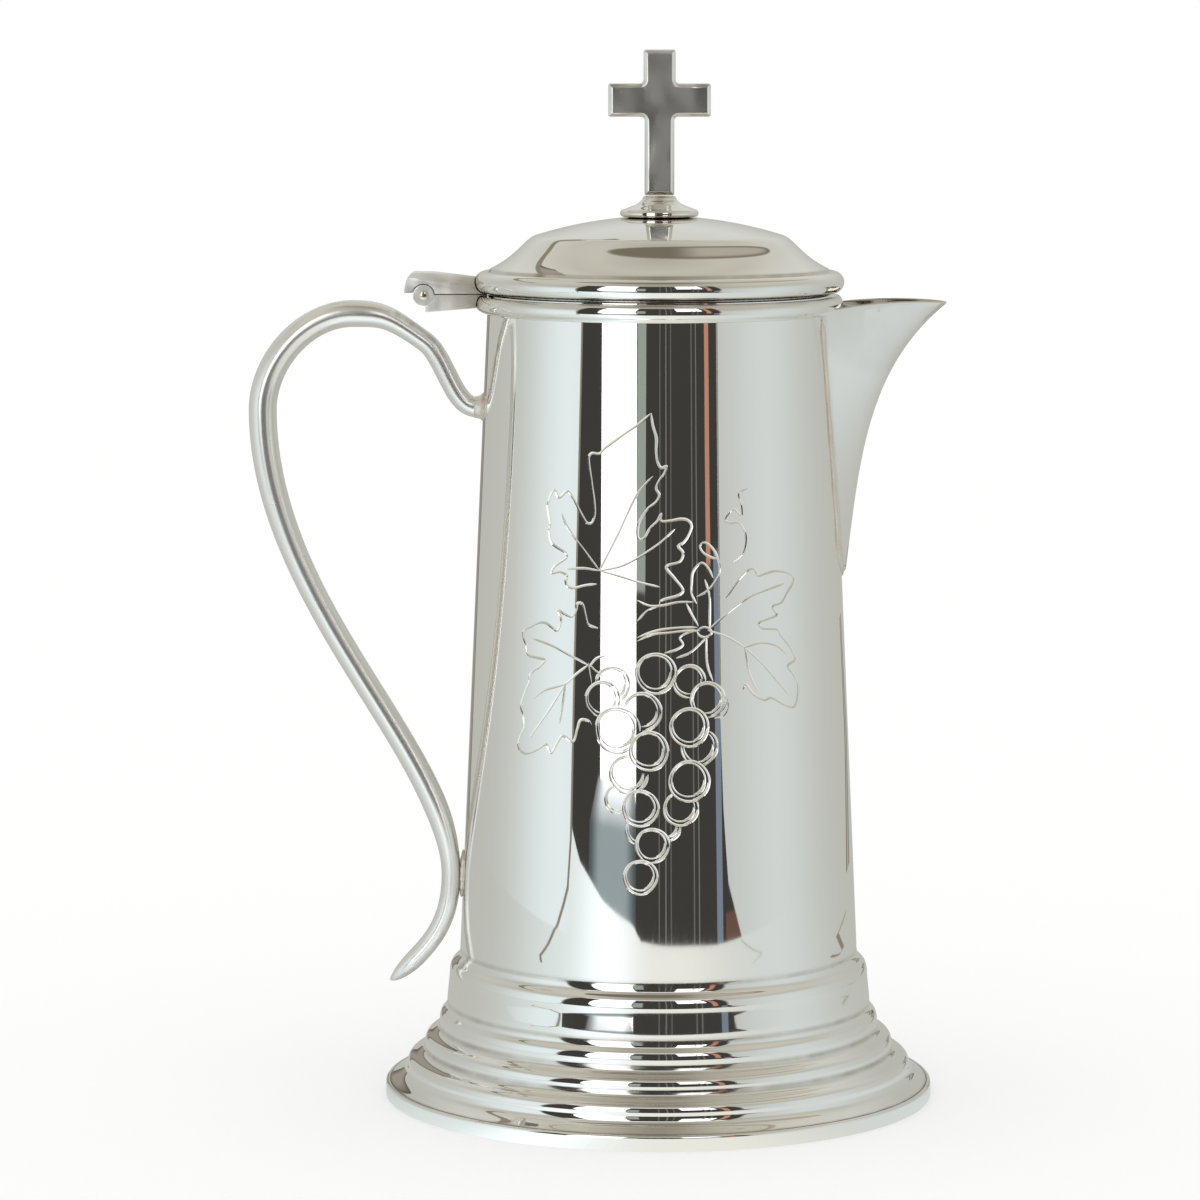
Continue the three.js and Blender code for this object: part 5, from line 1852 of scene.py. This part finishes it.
@dataclass
class Drum(Assembly):
    """Tapered drum, engraved at its front, with the pouring opening behind the spout."""

    pour_top_drop: float = 10.0
    pour_height: float = 56.0
    pour_top_width: float = 25.0
    pour_foot_width: float = 13.0
    pour_corner: float = 1.6
    pour_step: float = 2.0
    edge: float = 0.35
    foot_edge: float = 0.01
    columns: int = 256
    row_step: float = 4.0
    hole_margin: float = 0.9
    depth_share: float = 0.26
    least_area: float = 1e-7
    steps_per_mm: int = 2000

    def opening(self) -> list[Point]:
        """Outline of the pouring opening.

        Returns:
            Points as Y and height, going round once.
        """
        top = DRUM.top - self.pour_top_drop
        foot, half, wide = top - self.pour_height, self.pour_foot_width / 2, self.pour_top_width / 2
        low = foot + half
        line = refined([(-wide, top), (-half, low)], self.pour_step)
        for end, pull in (((0.0, foot), (-half, foot)), ((half, low), (half, foot))):
            a, b, c = np.array([line[-1], pull, end])
            shares = np.linspace(0, 1, 8)[1:]
            line += [tuple((1 - s) ** 2 * a + 2 * (1 - s) * s * b + s**2 * c) for s in shares]
        line += refined([(half, low), (wide, top)], self.pour_step)[1:]
        line += refined([(wide, top), (-wide, top)], self.pour_step)[1:-1]
        return softened([*line, line[0]], self.pour_corner)[:-1]

    def wall_skin(self, inset: float, low: float, high: float, field: GrooveField | None = None) -> Skin:
        """One wall of the drum, triangulated on the flat round its opening and its engraving.

        Args:
            inset: How far the wall lies inside the drum's outside.
            low: Lowest height.
            high: Greatest height.
            field: The engraving, if it has one.

        Returns:
            The wall in place.
        """
        quarter = math.pi / 2
        heights = np.linspace(low, high, max(2, round((high - low) / self.row_step)) + 1)
        turns = np.linspace(-math.pi, math.pi, self.columns + 1)
        ring = [(math.asin(y / (DRUM.radius_at(z) - inset)) + quarter, z) for y, z in self.opening()]
        hole = np.array([(a * DRUM.radius_at(z), z) for a, z in ring])
        grid = np.array([(a * DRUM.radius_at(z), z) for z in heights for a in turns])
        row, column = np.divmod(np.arange(len(grid)), self.columns + 1)
        border = np.isin(row, (0, len(heights) - 1)) | np.isin(column, (0, self.columns))
        clear = np.linalg.norm(grid[:, None] - hole[None], axis=2).min(1) > self.hole_margin
        lines = [(hole, True)]
        if field:
            clear &= field.at(grid)[0] <= 0
            lines += [part for groove in field.lines for part in self.groove_lines(*groove)]
        grid = grid[clear | border]
        count, edges = len(grid), []
        for part, joined in lines:
            last = count + len(part) - 1
            edges += [(i, i + 1) for i in range(count, last)] + ([(last, count)] if joined else [])
            count = last + 1
        places = np.concatenate([grid, *(part for part, _ in lines)])
        found = delaunay_2d_cdt([Vector(place) for place in places], edges, [], 0, 1e-4, True)
        pairs = zip(found[0], found[3])
        flat = np.array([places[near[0]] if near else tuple(place) for place, near in pairs])
        faces = np.array([face for face in found[2] if len(face) == 3])
        faces = faces[~self.within(flat[faces].mean(1), hole)]
        a, b, c = (flat[faces[:, i]] for i in range(3))
        area = np.cross(b - a, c - a)
        whole = np.abs(area) > self.least_area
        faces, area = faces[whole], area[whole]
        middles = flat[faces].mean(1)
        faces[area < 0] = faces[area < 0][:, ::-1]
        radius = DRUM.top_radius + (DRUM.top - flat[:, 1]) * DRUM.taper
        turn, tilt = flat[:, 0] / radius - quarter, math.atan(DRUM.taper)
        depth = field.at(flat)[0] if field else np.zeros(len(flat))
        cos, sin, level = np.cos(turn), np.sin(turn), np.zeros(len(turn))
        outward = np.stack([cos * math.cos(tilt), sin * math.cos(tilt), level + math.sin(tilt)], 1)
        around = np.stack([-sin, cos, level], 1)
        points = np.stack([(radius - inset) * cos, (radius - inset) * sin, flat[:, 1]], 1)
        points = points - outward * depth[:, None]
        corners = faces.ravel()
        normals = outward[corners]
        if field:
            cut = np.repeat(field.at(middles)[0] > 1e-4, 3)
            slope = field.at(flat[corners] + 0.12 * (np.repeat(middles, 3, 0) - flat[corners]))[1]
            upward = np.cross(outward, around)
            normals[cut] += (around[corners] * slope[:, :1] + upward[corners] * slope[:, 1:])[cut]
        return Skin(points, faces, unit(normals).reshape(-1, 3, 3), depth)

    @staticmethod
    def groove_lines(line: np.ndarray, halves: np.ndarray, closed: bool) -> list[tuple[np.ndarray, bool]]:
        """The middle line of a groove and the lines along its edges.

        Args:
            line: Middle points.
            halves: Half widths.
            closed: Whether the line joins its start.

        Returns:
            Lines, each with whether it joins its start.
        """
        steps = np.roll(line, -1, 0) - np.roll(line, 1, 0) if closed else np.gradient(line, axis=0)
        steps /= np.maximum(np.linalg.norm(steps, axis=1), 1e-9)[:, None]
        left = np.stack([-steps[:, 1], steps[:, 0]], 1) * halves[:, None]
        if closed:
            return [(line, True), (line + left, True), (line - left, True)]
        start, end = line[0] - steps[0] * halves[0], line[-1] + steps[-1] * halves[-1]
        return [(line, False), (np.vstack([start, line + left, end, (line - left)[::-1]]), True)]

    @staticmethod
    def within(places: np.ndarray, ring: np.ndarray) -> np.ndarray:
        """Which places lie inside a closed outline.

        Args:
            places: Points of the flat drawing.
            ring: Corners of the outline.

        Returns:
            One yes or no for each place.
        """
        inside = np.zeros(len(places), bool)
        for (ax, ay), (bx, by) in zip(ring, np.roll(ring, -1, 0)):
            if ay != by:
                crosses = (ay > places[:, 1]) != (by > places[:, 1])
                inside ^= crosses & (places[:, 0] < ax + (places[:, 1] - ay) * (bx - ax) / (by - ay))
        return inside

    def make(self) -> None:
        """Makes the outer wall with its engraving, the inner wall, and the edges between them."""
        low, high = DRUM.base + self.foot_edge, DRUM.top - self.edge
        field = GrooveField(Grapevine().strokes(), Grapevine.step, self.depth_share)
        inner = self.wall_skin(DRUM.wall, low, high)
        inner.faces, inner.normals = inner.faces[:, ::-1], -inner.normals[:, ::-1]
        skins = [self.wall_skin(0.0, low, high, field), inner, *self.bands(low, high)]
        starts = np.cumsum([0] + [len(skin.points) for skin in skins])
        points = np.concatenate([skin.points for skin in skins])
        normals = np.concatenate([skin.normals for skin in skins])
        depths = np.concatenate([skin.depths for skin in skins])
        faces = np.concatenate([skin.faces + start for skin, start in zip(skins, starts)])
        keys = np.round(points * self.steps_per_mm).astype(np.int64)
        _, first, back = np.unique(keys, axis=0, return_index=True, return_inverse=True)
        faces = back.ravel()[faces]
        whole = (faces != np.roll(faces, 1, 1)).all(1)
        made = mesh_object("drum_engraved", placed(points[first]), faces[whole])
        store(made, "crevice", np.clip(depths[first] / max(depths.max(), WELD) * 3, 0, 1))
        made.data.normals_split_custom_set(normals[whole].reshape(-1, 3).tolist())
        self.shop.handed(made, self.finishes.drum, Body.VESSEL, "drum")

    def bands(self, low: float, high: float) -> list[Skin]:
        """The rounded rims and the edge of the opening.

        Args:
            low: Height at which the lower rim starts to round.
            high: Height at which the upper rim starts to round.

        Returns:
            Each band.
        """
        made, half = [], DRUM.wall / 2
        turns = np.linspace(-math.pi, math.pi, self.columns + 1) - math.pi / 2
        for height, lift in ((low, -self.foot_edge), (high, self.edge)):
            rings, aims = [], []
            for share in np.linspace(0, math.pi, 9):
                radius = DRUM.radius_at(height) - half + half * math.cos(share)
                aim = unit(np.array([math.cos(share) / half, math.sin(share) / lift]))
                for rows, reach, up in ((rings, radius, height + lift * math.sin(share)), (aims, *aim)):
                    rows.append([(reach * math.cos(a), reach * math.sin(a), up) for a in turns])
            made.append(self.band(rings, aims, lift > 0))
        hole = self.opening()
        outline = [*hole, hole[0]]
        steps = unit(np.gradient(np.array([hole[-1], *outline, hole[1]]), axis=0)[1:-1])
        rings = []
        for inset in DRUM.wall * np.linspace(0, 1, 4):
            rings.append([(math.sqrt((DRUM.radius_at(z) - inset) ** 2 - y**2), y, z) for y, z in outline])
        aims = [[(0.0, -up, across) for across, up in steps]] * len(rings)
        return [*made, self.band(rings, aims, False)]

    @staticmethod
    def band(rings: Sequence, aims: Sequence, forward: bool) -> Skin:
        """A strip of triangles through rings of as many points each.

        Args:
            rings: The rings.
            aims: Normals of their points.
            forward: Which way its faces turn.

        Returns:
            The strip.
        """
        squares = grid_faces(len(rings), len(rings[0]))
        faces = np.array([face for a, b, c, d in squares for face in ((a, b, c), (a, c, d))])
        faces = faces if forward else faces[:, ::-1]
        points, normals = np.array(rings).reshape(-1, 3), np.array(aims).reshape(-1, 3)
        return Skin(points, faces, normals[faces], np.zeros(len(points)))


# Studio


@dataclass(frozen=True)
class Lobe:
    """Soft light from one side of the tent: more or less of a colour round an azimuth in degrees."""

    azimuth: float
    width: float
    colour: Triple

    def at(self, azimuth: float) -> np.ndarray:
        """What it adds at an azimuth."""
        away = (azimuth - self.azimuth + 180) % 360 - 180
        return np.array(self.colour) * math.exp(-0.5 * (away / self.width) ** 2)


@dataclass(frozen=True)
class Card:
    """An upright sheet with its own sides at each height, whose top and sides may fade."""

    name: str
    radius: float
    levels: tuple[Triple, ...]
    colour: Triple
    top_colour: Triple | None = None
    soft_side: float = 0.0

    def tone(self, level: int, share: float) -> np.ndarray:
        """Colour at a place of the card.

        Args:
            level: Index of the level.
            share: How far from its left to its right.

        Returns:
            The colour.
        """
        at_top = self.top_colour and level == len(self.levels) - 1
        colour = np.array(self.top_colour if at_top else self.colour)
        side = min(share, 1 - share)
        return colour * (lerp(0.25, 1, smoothstep(side, 0, self.soft_side)) if self.soft_side else 1)


@dataclass(frozen=True)
class Ring:
    """A level of the tent above its walls, with its tones in front, at the left, right and back."""

    radius: float
    height: float
    front: Triple
    left: Triple
    right: Triple
    back: Triple

    def tone(self, azimuth: float) -> np.ndarray:
        """Its colour all round.

        Args:
            azimuth: Azimuth in degrees.

        Returns:
            The colour.
        """
        ahead, aside = math.cos(math.radians(azimuth)), math.sin(math.radians(azimuth))
        end, side = self.front if ahead > 0 else self.back, self.right if aside > 0 else self.left
        return np.array(end) * ahead**2 + np.array(side) * aside**2


@dataclass
class Studio:
    """Plain pale floor, soft light from all round, and the tent and room that the metal mirrors.

    Its own sizes are in metres and degrees, and azimuths run from the camera's side to the right.
    """

    tent_radius: float = 0.62
    room_radius: float = 3.0
    floor_reach: float = 14.0
    floor_tone: Triple = (0.70, 0.70, 0.695)
    floor_lift: float = 0.305
    wall_tone: Triple = (0.55, 0.56, 0.53)
    wall_lobes: tuple[Lobe, ...] = (
        Lobe(302, 22, (0.29, 0.37, 0.43)), Lobe(70, 22, (0.13, 0.17, 0.20)),
        Lobe(180, 30, (-0.05, -0.06, -0.07))
    )
    floor_lobes: tuple[Lobe, ...] = (
        Lobe(-29, 12, (0.40, 0.46, 0.54)), Lobe(8, 24, (0.34, 0.33, 0.31)),
        Lobe(302, 24, (-0.09, -0.11, -0.14))
    )
    wall_levels: tuple[Triple, ...] = (
        *((0.0, 46.0, -51.0), (0.024, 38.5, -51.0), (0.056, 36.2, -51.0), (0.10, 34.8, -51.0)),
        *((0.24, 35.4, -51.4), (0.30, 35.6, -51.6), (0.55, 35.6, -52.0), (0.78, 35.6, -52.0))
    )
    rings: tuple[Ring, ...] = (
        Ring(0.62, 0.55, (0.40, 0.38, 0.33), (0.50, 0.50, 0.45), (0.52, 0.52, 0.46), (0.71, 0.72, 0.69)),
        Ring(0.62, 0.78, (0.42, 0.40, 0.35), (0.57, 0.56, 0.50), (0.60, 0.59, 0.52), (0.68, 0.67, 0.61)),
        Ring(0.52, 0.98, (0.38, 0.36, 0.30), (0.60, 0.58, 0.51), (0.60, 0.58, 0.51), (0.55, 0.52, 0.45)),
        Ring(0.37, 1.07, (0.33, 0.31, 0.26), (0.60, 0.58, 0.51), (0.58, 0.56, 0.50), (0.57, 0.55, 0.48)),
        Ring(0.001, 1.15, *[(0.45, 0.43, 0.38)] * 4)
    )
    table_edge: tuple[Point, ...] = (
        *((-52.0, 1.15), (-46.8, 0.98), (-39.8, 0.905), (-32.3, 0.822), (-22.8, 0.767), (-14.7, 0.73)),
        *((-10.6, 0.657), (0.8, 0.642), (17.4, 0.634), (31.9, 0.619), (46.0, 0.62))
    )
    vent_turns: Point = (-29.0, 57.0)
    vent_slopes: Point = (44.4, 5.2)
    vent_distance: float = 0.55
    shoulder_radius: float = 0.042
    lid_height: float = 0.27
    hems: tuple[tuple[float, tuple[Triple, ...]], ...] = (
        (0.0, tuple((azimuth, 0.612, 0.70) for azimuth in range(186, 263, 4))),
        (0.013, ((-52.0, 0.612, 0.78), (-51.4, 0.612, 0.24), (-51.8, 0.612, 0.04), (-53.0, 0.612, 0.02))),
        (0.016, ((-53.0, 0.612, 0.02), (-55.5, 0.612, 0.012), (-59.2, 0.612, 0.002), (-61.0, 0.589, 0.002))),
        (0.016, ((-61.0, 0.589, 0.002), (-64.2, 0.528, 0.002), (-68.9, 0.474, 0.002), (-67.9, 0.453, 0.002))),
        (0.04, ((131.0, 0.4, 0.002), (126.0, 0.393, 0.002), (117.0, 0.383, 0.002), (123.0, 0.33, 0.002))),
        (0.03, ((123.0, 0.33, 0.002), (119.0, 0.328, 0.002), (108.0, 0.352, 0.002))),
        (0.008, ((35.9, 0.612, 0.78), (35.6, 0.612, 0.24), (34.8, 0.612, 0.1))),
        (0.006, ((45.3, 0.587, 0.002), (53.0, 0.53, 0.002), (57.5, 0.509, 0.002), (51.0, 0.489, 0.002)))
    )
    hem_tone: Triple = (0.27, 0.24, 0.185)
    lens_angle: float = 14.11
    camera_place: Triple = (0.000475, -1.473, 0.324)
    camera_pitch: float = 83.366

    def make(self) -> None:
        """Makes the world, the floor, what the metal mirrors, and the camera."""
        self.make_world()
        self.make_floor()
        self.glow = self.card_material()
        self.tent_wall()
        self.tent_dome()
        self.tent_vent()
        self.tent_floor()
        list(map(self.card, self.cards()))
        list(map(self.hem, self.hems))
        self.make_camera()

    def make_world(self) -> None:
        """White world: the background, and the only light on the floor."""
        world = bpy.data.worlds.new("studio_world")
        world.use_nodes = True
        background = world.node_tree.nodes["Background"].inputs
        background["Color"].default_value = (1, 1, 1, 1)
        background["Strength"].default_value = 1.0
        bpy.context.scene.world = world

    @staticmethod
    def bare_material(name: str) -> tuple[Material, Tree, NodeSocket]:
        """A new material without a shader.

        Args:
            name: Name of the material.

        Returns:
            The material, its tree and the socket of its surface.
        """
        material = bpy.data.materials.new(name)
        material.use_nodes = True
        nodes = material.node_tree.nodes
        nodes.remove(nodes["Principled BSDF"])
        return material, Tree(material.node_tree), nodes["Material Output"].inputs["Surface"]

    def make_floor(self) -> None:
        """Pale floor. The camera sees it lifted to white, with the object's shadow kept."""
        material, tree, surface = self.bare_material("pale_floor")
        pale = tree.add("ShaderNodeBsdfDiffuse", {"Color": (*self.floor_tone, 1)})
        seen = tree.add("ShaderNodeLightPath").outputs["Is Camera Ray"]
        strength = tree.math("MULTIPLY", seen, self.floor_lift)
        lift = tree.add("ShaderNodeEmission", {"Color": (1, 1, 1, 1), "Strength": strength})
        tree.feed(
            surface, tree.add("ShaderNodeAddShader", {0: pale.outputs[0], 1: lift.outputs[0]}).outputs[0]
        )
        corners = np.array([(-1, -1, 0), (1, -1, 0), (1, 1, 0), (-1, 1, 0)]) * self.floor_reach
        floor = mesh_object("studio_floor", corners, [[0, 1, 2, 3]], smooth=False)
        floor.data.materials.append(material)
        floor.visible_glossy = False

    def card_material(self) -> Material:
        """Light from a colour stored on the card's corners.

        Returns:
            The material.
        """
        material, tree, surface = self.bare_material("studio_card")
        stored = tree.add("ShaderNodeAttribute", attribute_name="glow").outputs["Color"]
        tree.feed(surface, tree.add("ShaderNodeEmission", {"Color": stored}).outputs[0])
        return material

    def cards(self) -> list[Card]:
        """The dark room beyond the opening.

        Returns:
            The room's wall, windows, frames and doors.
        """
        low, high = -0.4, 2.6
        white = (1.7, 1.72, 1.75)
        sill_levels = ((-0.2, -41.0, -13.5), (0.004, -41.0, -13.5), (0.03, -36.0, -14.5))
        left_fold = ((0.0, -160, -150), (0.12, -163, -153), (0.3, -166, -152))
        window_levels = ((-0.065, -35.2, -13.8), (0.33, -38.6, -15.2), (high, -38.6, -15.2))
        right_fold = ((0.0, 139, 147), (0.05, 148, 156), (0.1, 147, 151))
        made = [
            Card("room_wall", self.room_radius, ((-1.2, -180, 180), (3.2, -180, 180)), (0.050, 0.048, 0.044)),
            Card("window_left", 2.5, window_levels, white),
            Card("window_sill", 1.2, sill_levels, (0.32, 0.38, 0.40), (1.3, 1.35, 1.4), 0.25),
            Card("fold_left", 0.5, left_fold, (0.33, 0.30, 0.25), None, 0.25),
            Card("fold_right", 0.5, right_fold, (0.42, 0.39, 0.34), None, 0.4),
            Card("smear_left", 0.55, ((0.69, -163, -148), (0.8, -160, -152)), (0.36, 0.33, 0.28), None, 0.3),
            Card("window_right", 2.5, ((0.95, 10, 26), (high, 10, 26)), white),
            Card("cloth_red", 0.66, ((-0.05, 37, 46), (0.008, 37, 46)), (0.15, 0.085, 0.065)),
            Card("pane_grey", 2.55, ((0.1, -14.5, -9.0), (1.2, -14.5, -9.0)), (0.33, 0.37, 0.33))
        ]
        before_windows = 2.3
        for name, start, end, bottom, top, colour in (
            ("frame_a", -0.5, 0.1, low, high, (0.16, 0.15, 0.13)),
            ("frame_b", 3.3, 3.9, low, high, (0.22, 0.21, 0.19)),
            ("frame_c", 6.3, 6.9, low, high, (0.15, 0.14, 0.13)),
            ("frame_d", 19.5, 20.2, low, high, (0.16, 0.155, 0.14)),
            ("frame_e", 22.4, 23.0, low, high, (0.20, 0.19, 0.175)),
            ("curtain", 28.4, 31.2, 0.12, high, (0.52, 0.26, 0.18)),
            ("door_blue", 33.0, 36.5, low, 0.13, (0.20, 0.24, 0.30))
        ):
            made.append(Card(name, before_windows, ((bottom, start, end), (top, start, end)), colour))
        return made

    def card(self, card: Card) -> Object:
        """Makes a sheet with its own sides at each height.

        Args:
            card: What to make.

        Returns:
            The sheet.
        """
        steps = max(2, math.ceil((card.levels[0][2] - card.levels[0][1]) / 1.5))
        shares = [i / steps for i in range(steps + 1)]
        rows = [
            [(lerp(start, end, share), card.radius, height, card.tone(level, share)) for share in shares]
            for level, (height, start, end) in enumerate(card.levels)
        ]
        return self.sheet_of(card.name, rows)

    def wall_colour(self, azimuth: float) -> np.ndarray:
        """Colour of the tent's wall near the table."""
        return np.array(self.wall_tone) + sum(lobe.at(azimuth) for lobe in self.wall_lobes)

    def tent_wall(self) -> Object:
        """The tent's wall, open towards the camera.

        Returns:
            The wall.
        """
        rows, steps = [], 100
        lower, upper = self.rings[:2]
        for height, right, left in self.wall_levels:
            low_share = smoothstep(height, 0.28, lower.height)
            high_share = smoothstep(height, lower.height, upper.height)
            row = []
            for azimuth in (lerp(right, 360 + left, i / steps) for i in range(steps + 1)):
                tone = lerp(self.wall_colour(azimuth), lower.tone(azimuth), low_share)
                row.append((azimuth, self.tent_radius, height, lerp(tone, upper.tone(azimuth), high_share)))
            rows.append(row)
        return self.sheet_of("tent_wall", rows)

    def tent_dome(self) -> Object:
        """The tent's top, closed all round.

        Returns:
            The dome.
        """
        azimuths = np.linspace(-180, 180, 121)
        rows = [[(a, ring.radius, ring.height, ring.tone(a)) for a in azimuths] for ring in self.rings[1:]]
        return self.sheet_of("tent_dome", rows)

    def mirrored(self, turn: float, slope: float) -> Triple:
        """Where in the tent the lid's shoulder mirrors, as the camera sees it.

        Args:
            turn: Degrees round the lid, from its front towards the right.
            slope: Degrees that its surface leans by there.

        Returns:
            Azimuth, reach and height.
        """
        turn, slope, fall = (math.radians(angle) for angle in (turn, slope, 90 - self.camera_pitch))
        outward = np.array([math.sin(turn), math.cos(turn), 0.0])
        normal = outward * math.sin(slope) + np.array([0.0, 0.0, math.cos(slope)])
        view = np.array([0.0, math.cos(fall), math.sin(fall)])
        place = outward * self.shoulder_radius + self.vent_distance * (2 * view.dot(normal) * normal - view)
        across, ahead, rise = place
        return math.degrees(math.atan2(across, ahead)), math.hypot(across, ahead), self.lid_height + rise

    def tent_vent(self) -> Object:
        """The dim opening in the tent's top, lighter towards the right, with a darker edge.

        Returns:
            The opening, as a sheet that glows.
        """
        (left, right), (slope, spread) = self.vent_turns, self.vent_slopes
        dark, light, edge = np.array(((0.19, 0.165, 0.125), (0.45, 0.42, 0.355), (0.42, 0.40, 0.34)))
        upper = ((0.6, dark, light), (0.85, dark, dark), (1.0, edge, edge))
        rows = []
        for share, tone, right_tone in (*((-share, *tones) for share, *tones in reversed(upper)), *upper):
            row = []
            for turn in np.linspace(left, right, 60):
                width = math.sqrt(max(1 - (2 * (turn - left) / (right - left) - 1) ** 2, 1e-4))
                place = self.mirrored(turn, slope + share * spread * width)
                row.append((*place, lerp(tone, right_tone, smoothstep(turn, 4, 20))))
            rows.append(row)
        return self.sheet_of("tent_vent", rows)

    def hem(self, hem: tuple[float, Sequence[Triple]]) -> Object:
        """A narrow strip along an edge of the tent's cloth, on its wall or on the table.

        Args:
            hem: How wide it is at most, and its line as azimuth, radius and height.

        Returns:
            The strip.
        """
        width, line = hem
        turn, lift = math.degrees(width / self.tent_radius), 0.0 if width else 0.05
        aside = [(azimuth + turn, radius, height + lift, self.hem_tone) for azimuth, radius, height in line]
        return self.sheet_of("tent_hem", [[(*point, self.hem_tone) for point in line], aside])

    def tent_floor(self) -> Object:
        """The table as the metal mirrors it, a glowing sheet with the light on the table painted into its
        colour.

        Returns:
            The table, out to its edge in the opening and to the wall elsewhere.
        """
        edges, reaches = zip(*self.table_edge)
        inner, outer = [], []
        for azimuth in np.arange(-52, 309, 2.0):
            reach = float(np.interp(azimuth, edges, reaches)) if azimuth <= edges[-1] else self.tent_radius
            tone = self.wall_colour(azimuth) + sum(lobe.at(azimuth) for lobe in self.floor_lobes)
            inner.append((azimuth, 0.01, 0.0, tone))
            outer.append((azimuth, reach, 0.0, tone))
        return self.sheet_of("tent_floor", [inner, outer])

    def sheet_of(self, name: str, rows: Sequence[Sequence[tuple]]) -> Object:
        """A sheet through rows of azimuth, radius, height and colour, seen by reflections only.

        Args:
            name: Its name, without "studio_".
            rows: Rows of as many points each.

        Returns:
            The sheet.
        """
        points, glows = [], []
        for azimuth, radius, height, colour in (item for row in rows for item in row):
            angle = math.radians(azimuth)
            points.append((AXIS_X + radius * math.sin(angle), -radius * math.cos(angle), height))
            glows.append((*colour, 1.0))
        made = mesh_object(
            f"studio_{name}", np.array(points), grid_faces(len(rows), len(rows[0])), smooth=False
        )
        stored = made.data.color_attributes.new("glow", "FLOAT_COLOR", "POINT")
        stored.data.foreach_set("color", np.array(glows, np.float32).ravel())
        made.data.materials.append(self.glow)
        for ray in ("camera", "diffuse", "shadow", "transmission"):
            setattr(made, f"visible_{ray}", False)
        return made

    def make_camera(self) -> None:
        """The camera at the photograph's viewing angle."""
        data = bpy.data.cameras.new("camera")
        data.sensor_width = 36.0
        data.lens = data.sensor_width / 2 / math.tan(math.radians(self.lens_angle / 2))
        data.dof.use_dof = False
        data.clip_start, data.clip_end = 0.05, 60.0
        camera = bpy.data.objects.new("camera", data)
        camera.location = self.camera_place
        camera.rotation_euler = (math.radians(self.camera_pitch), 0.0, 0.0)
        bpy.context.scene.collection.objects.link(camera)
        bpy.context.scene.camera = camera
        bpy.context.scene.view_settings.view_transform = "Standard"


# All of it


def main() -> None:
    """Builds the flagon and its studio."""
    shop = Workshop()
    lid = Lid(shop)
    outside = (Foot(shop), Drum(shop), Floor(shop), MouthRing(shop), Spout(shop), Handle(shop), Hinge(shop))
    for assembly in (*outside, lid, Finial(shop, lid)):
        assembly.make()
    Studio().make()
    bpy.context.view_layer.update()


if __name__ == "__main__":
    main()
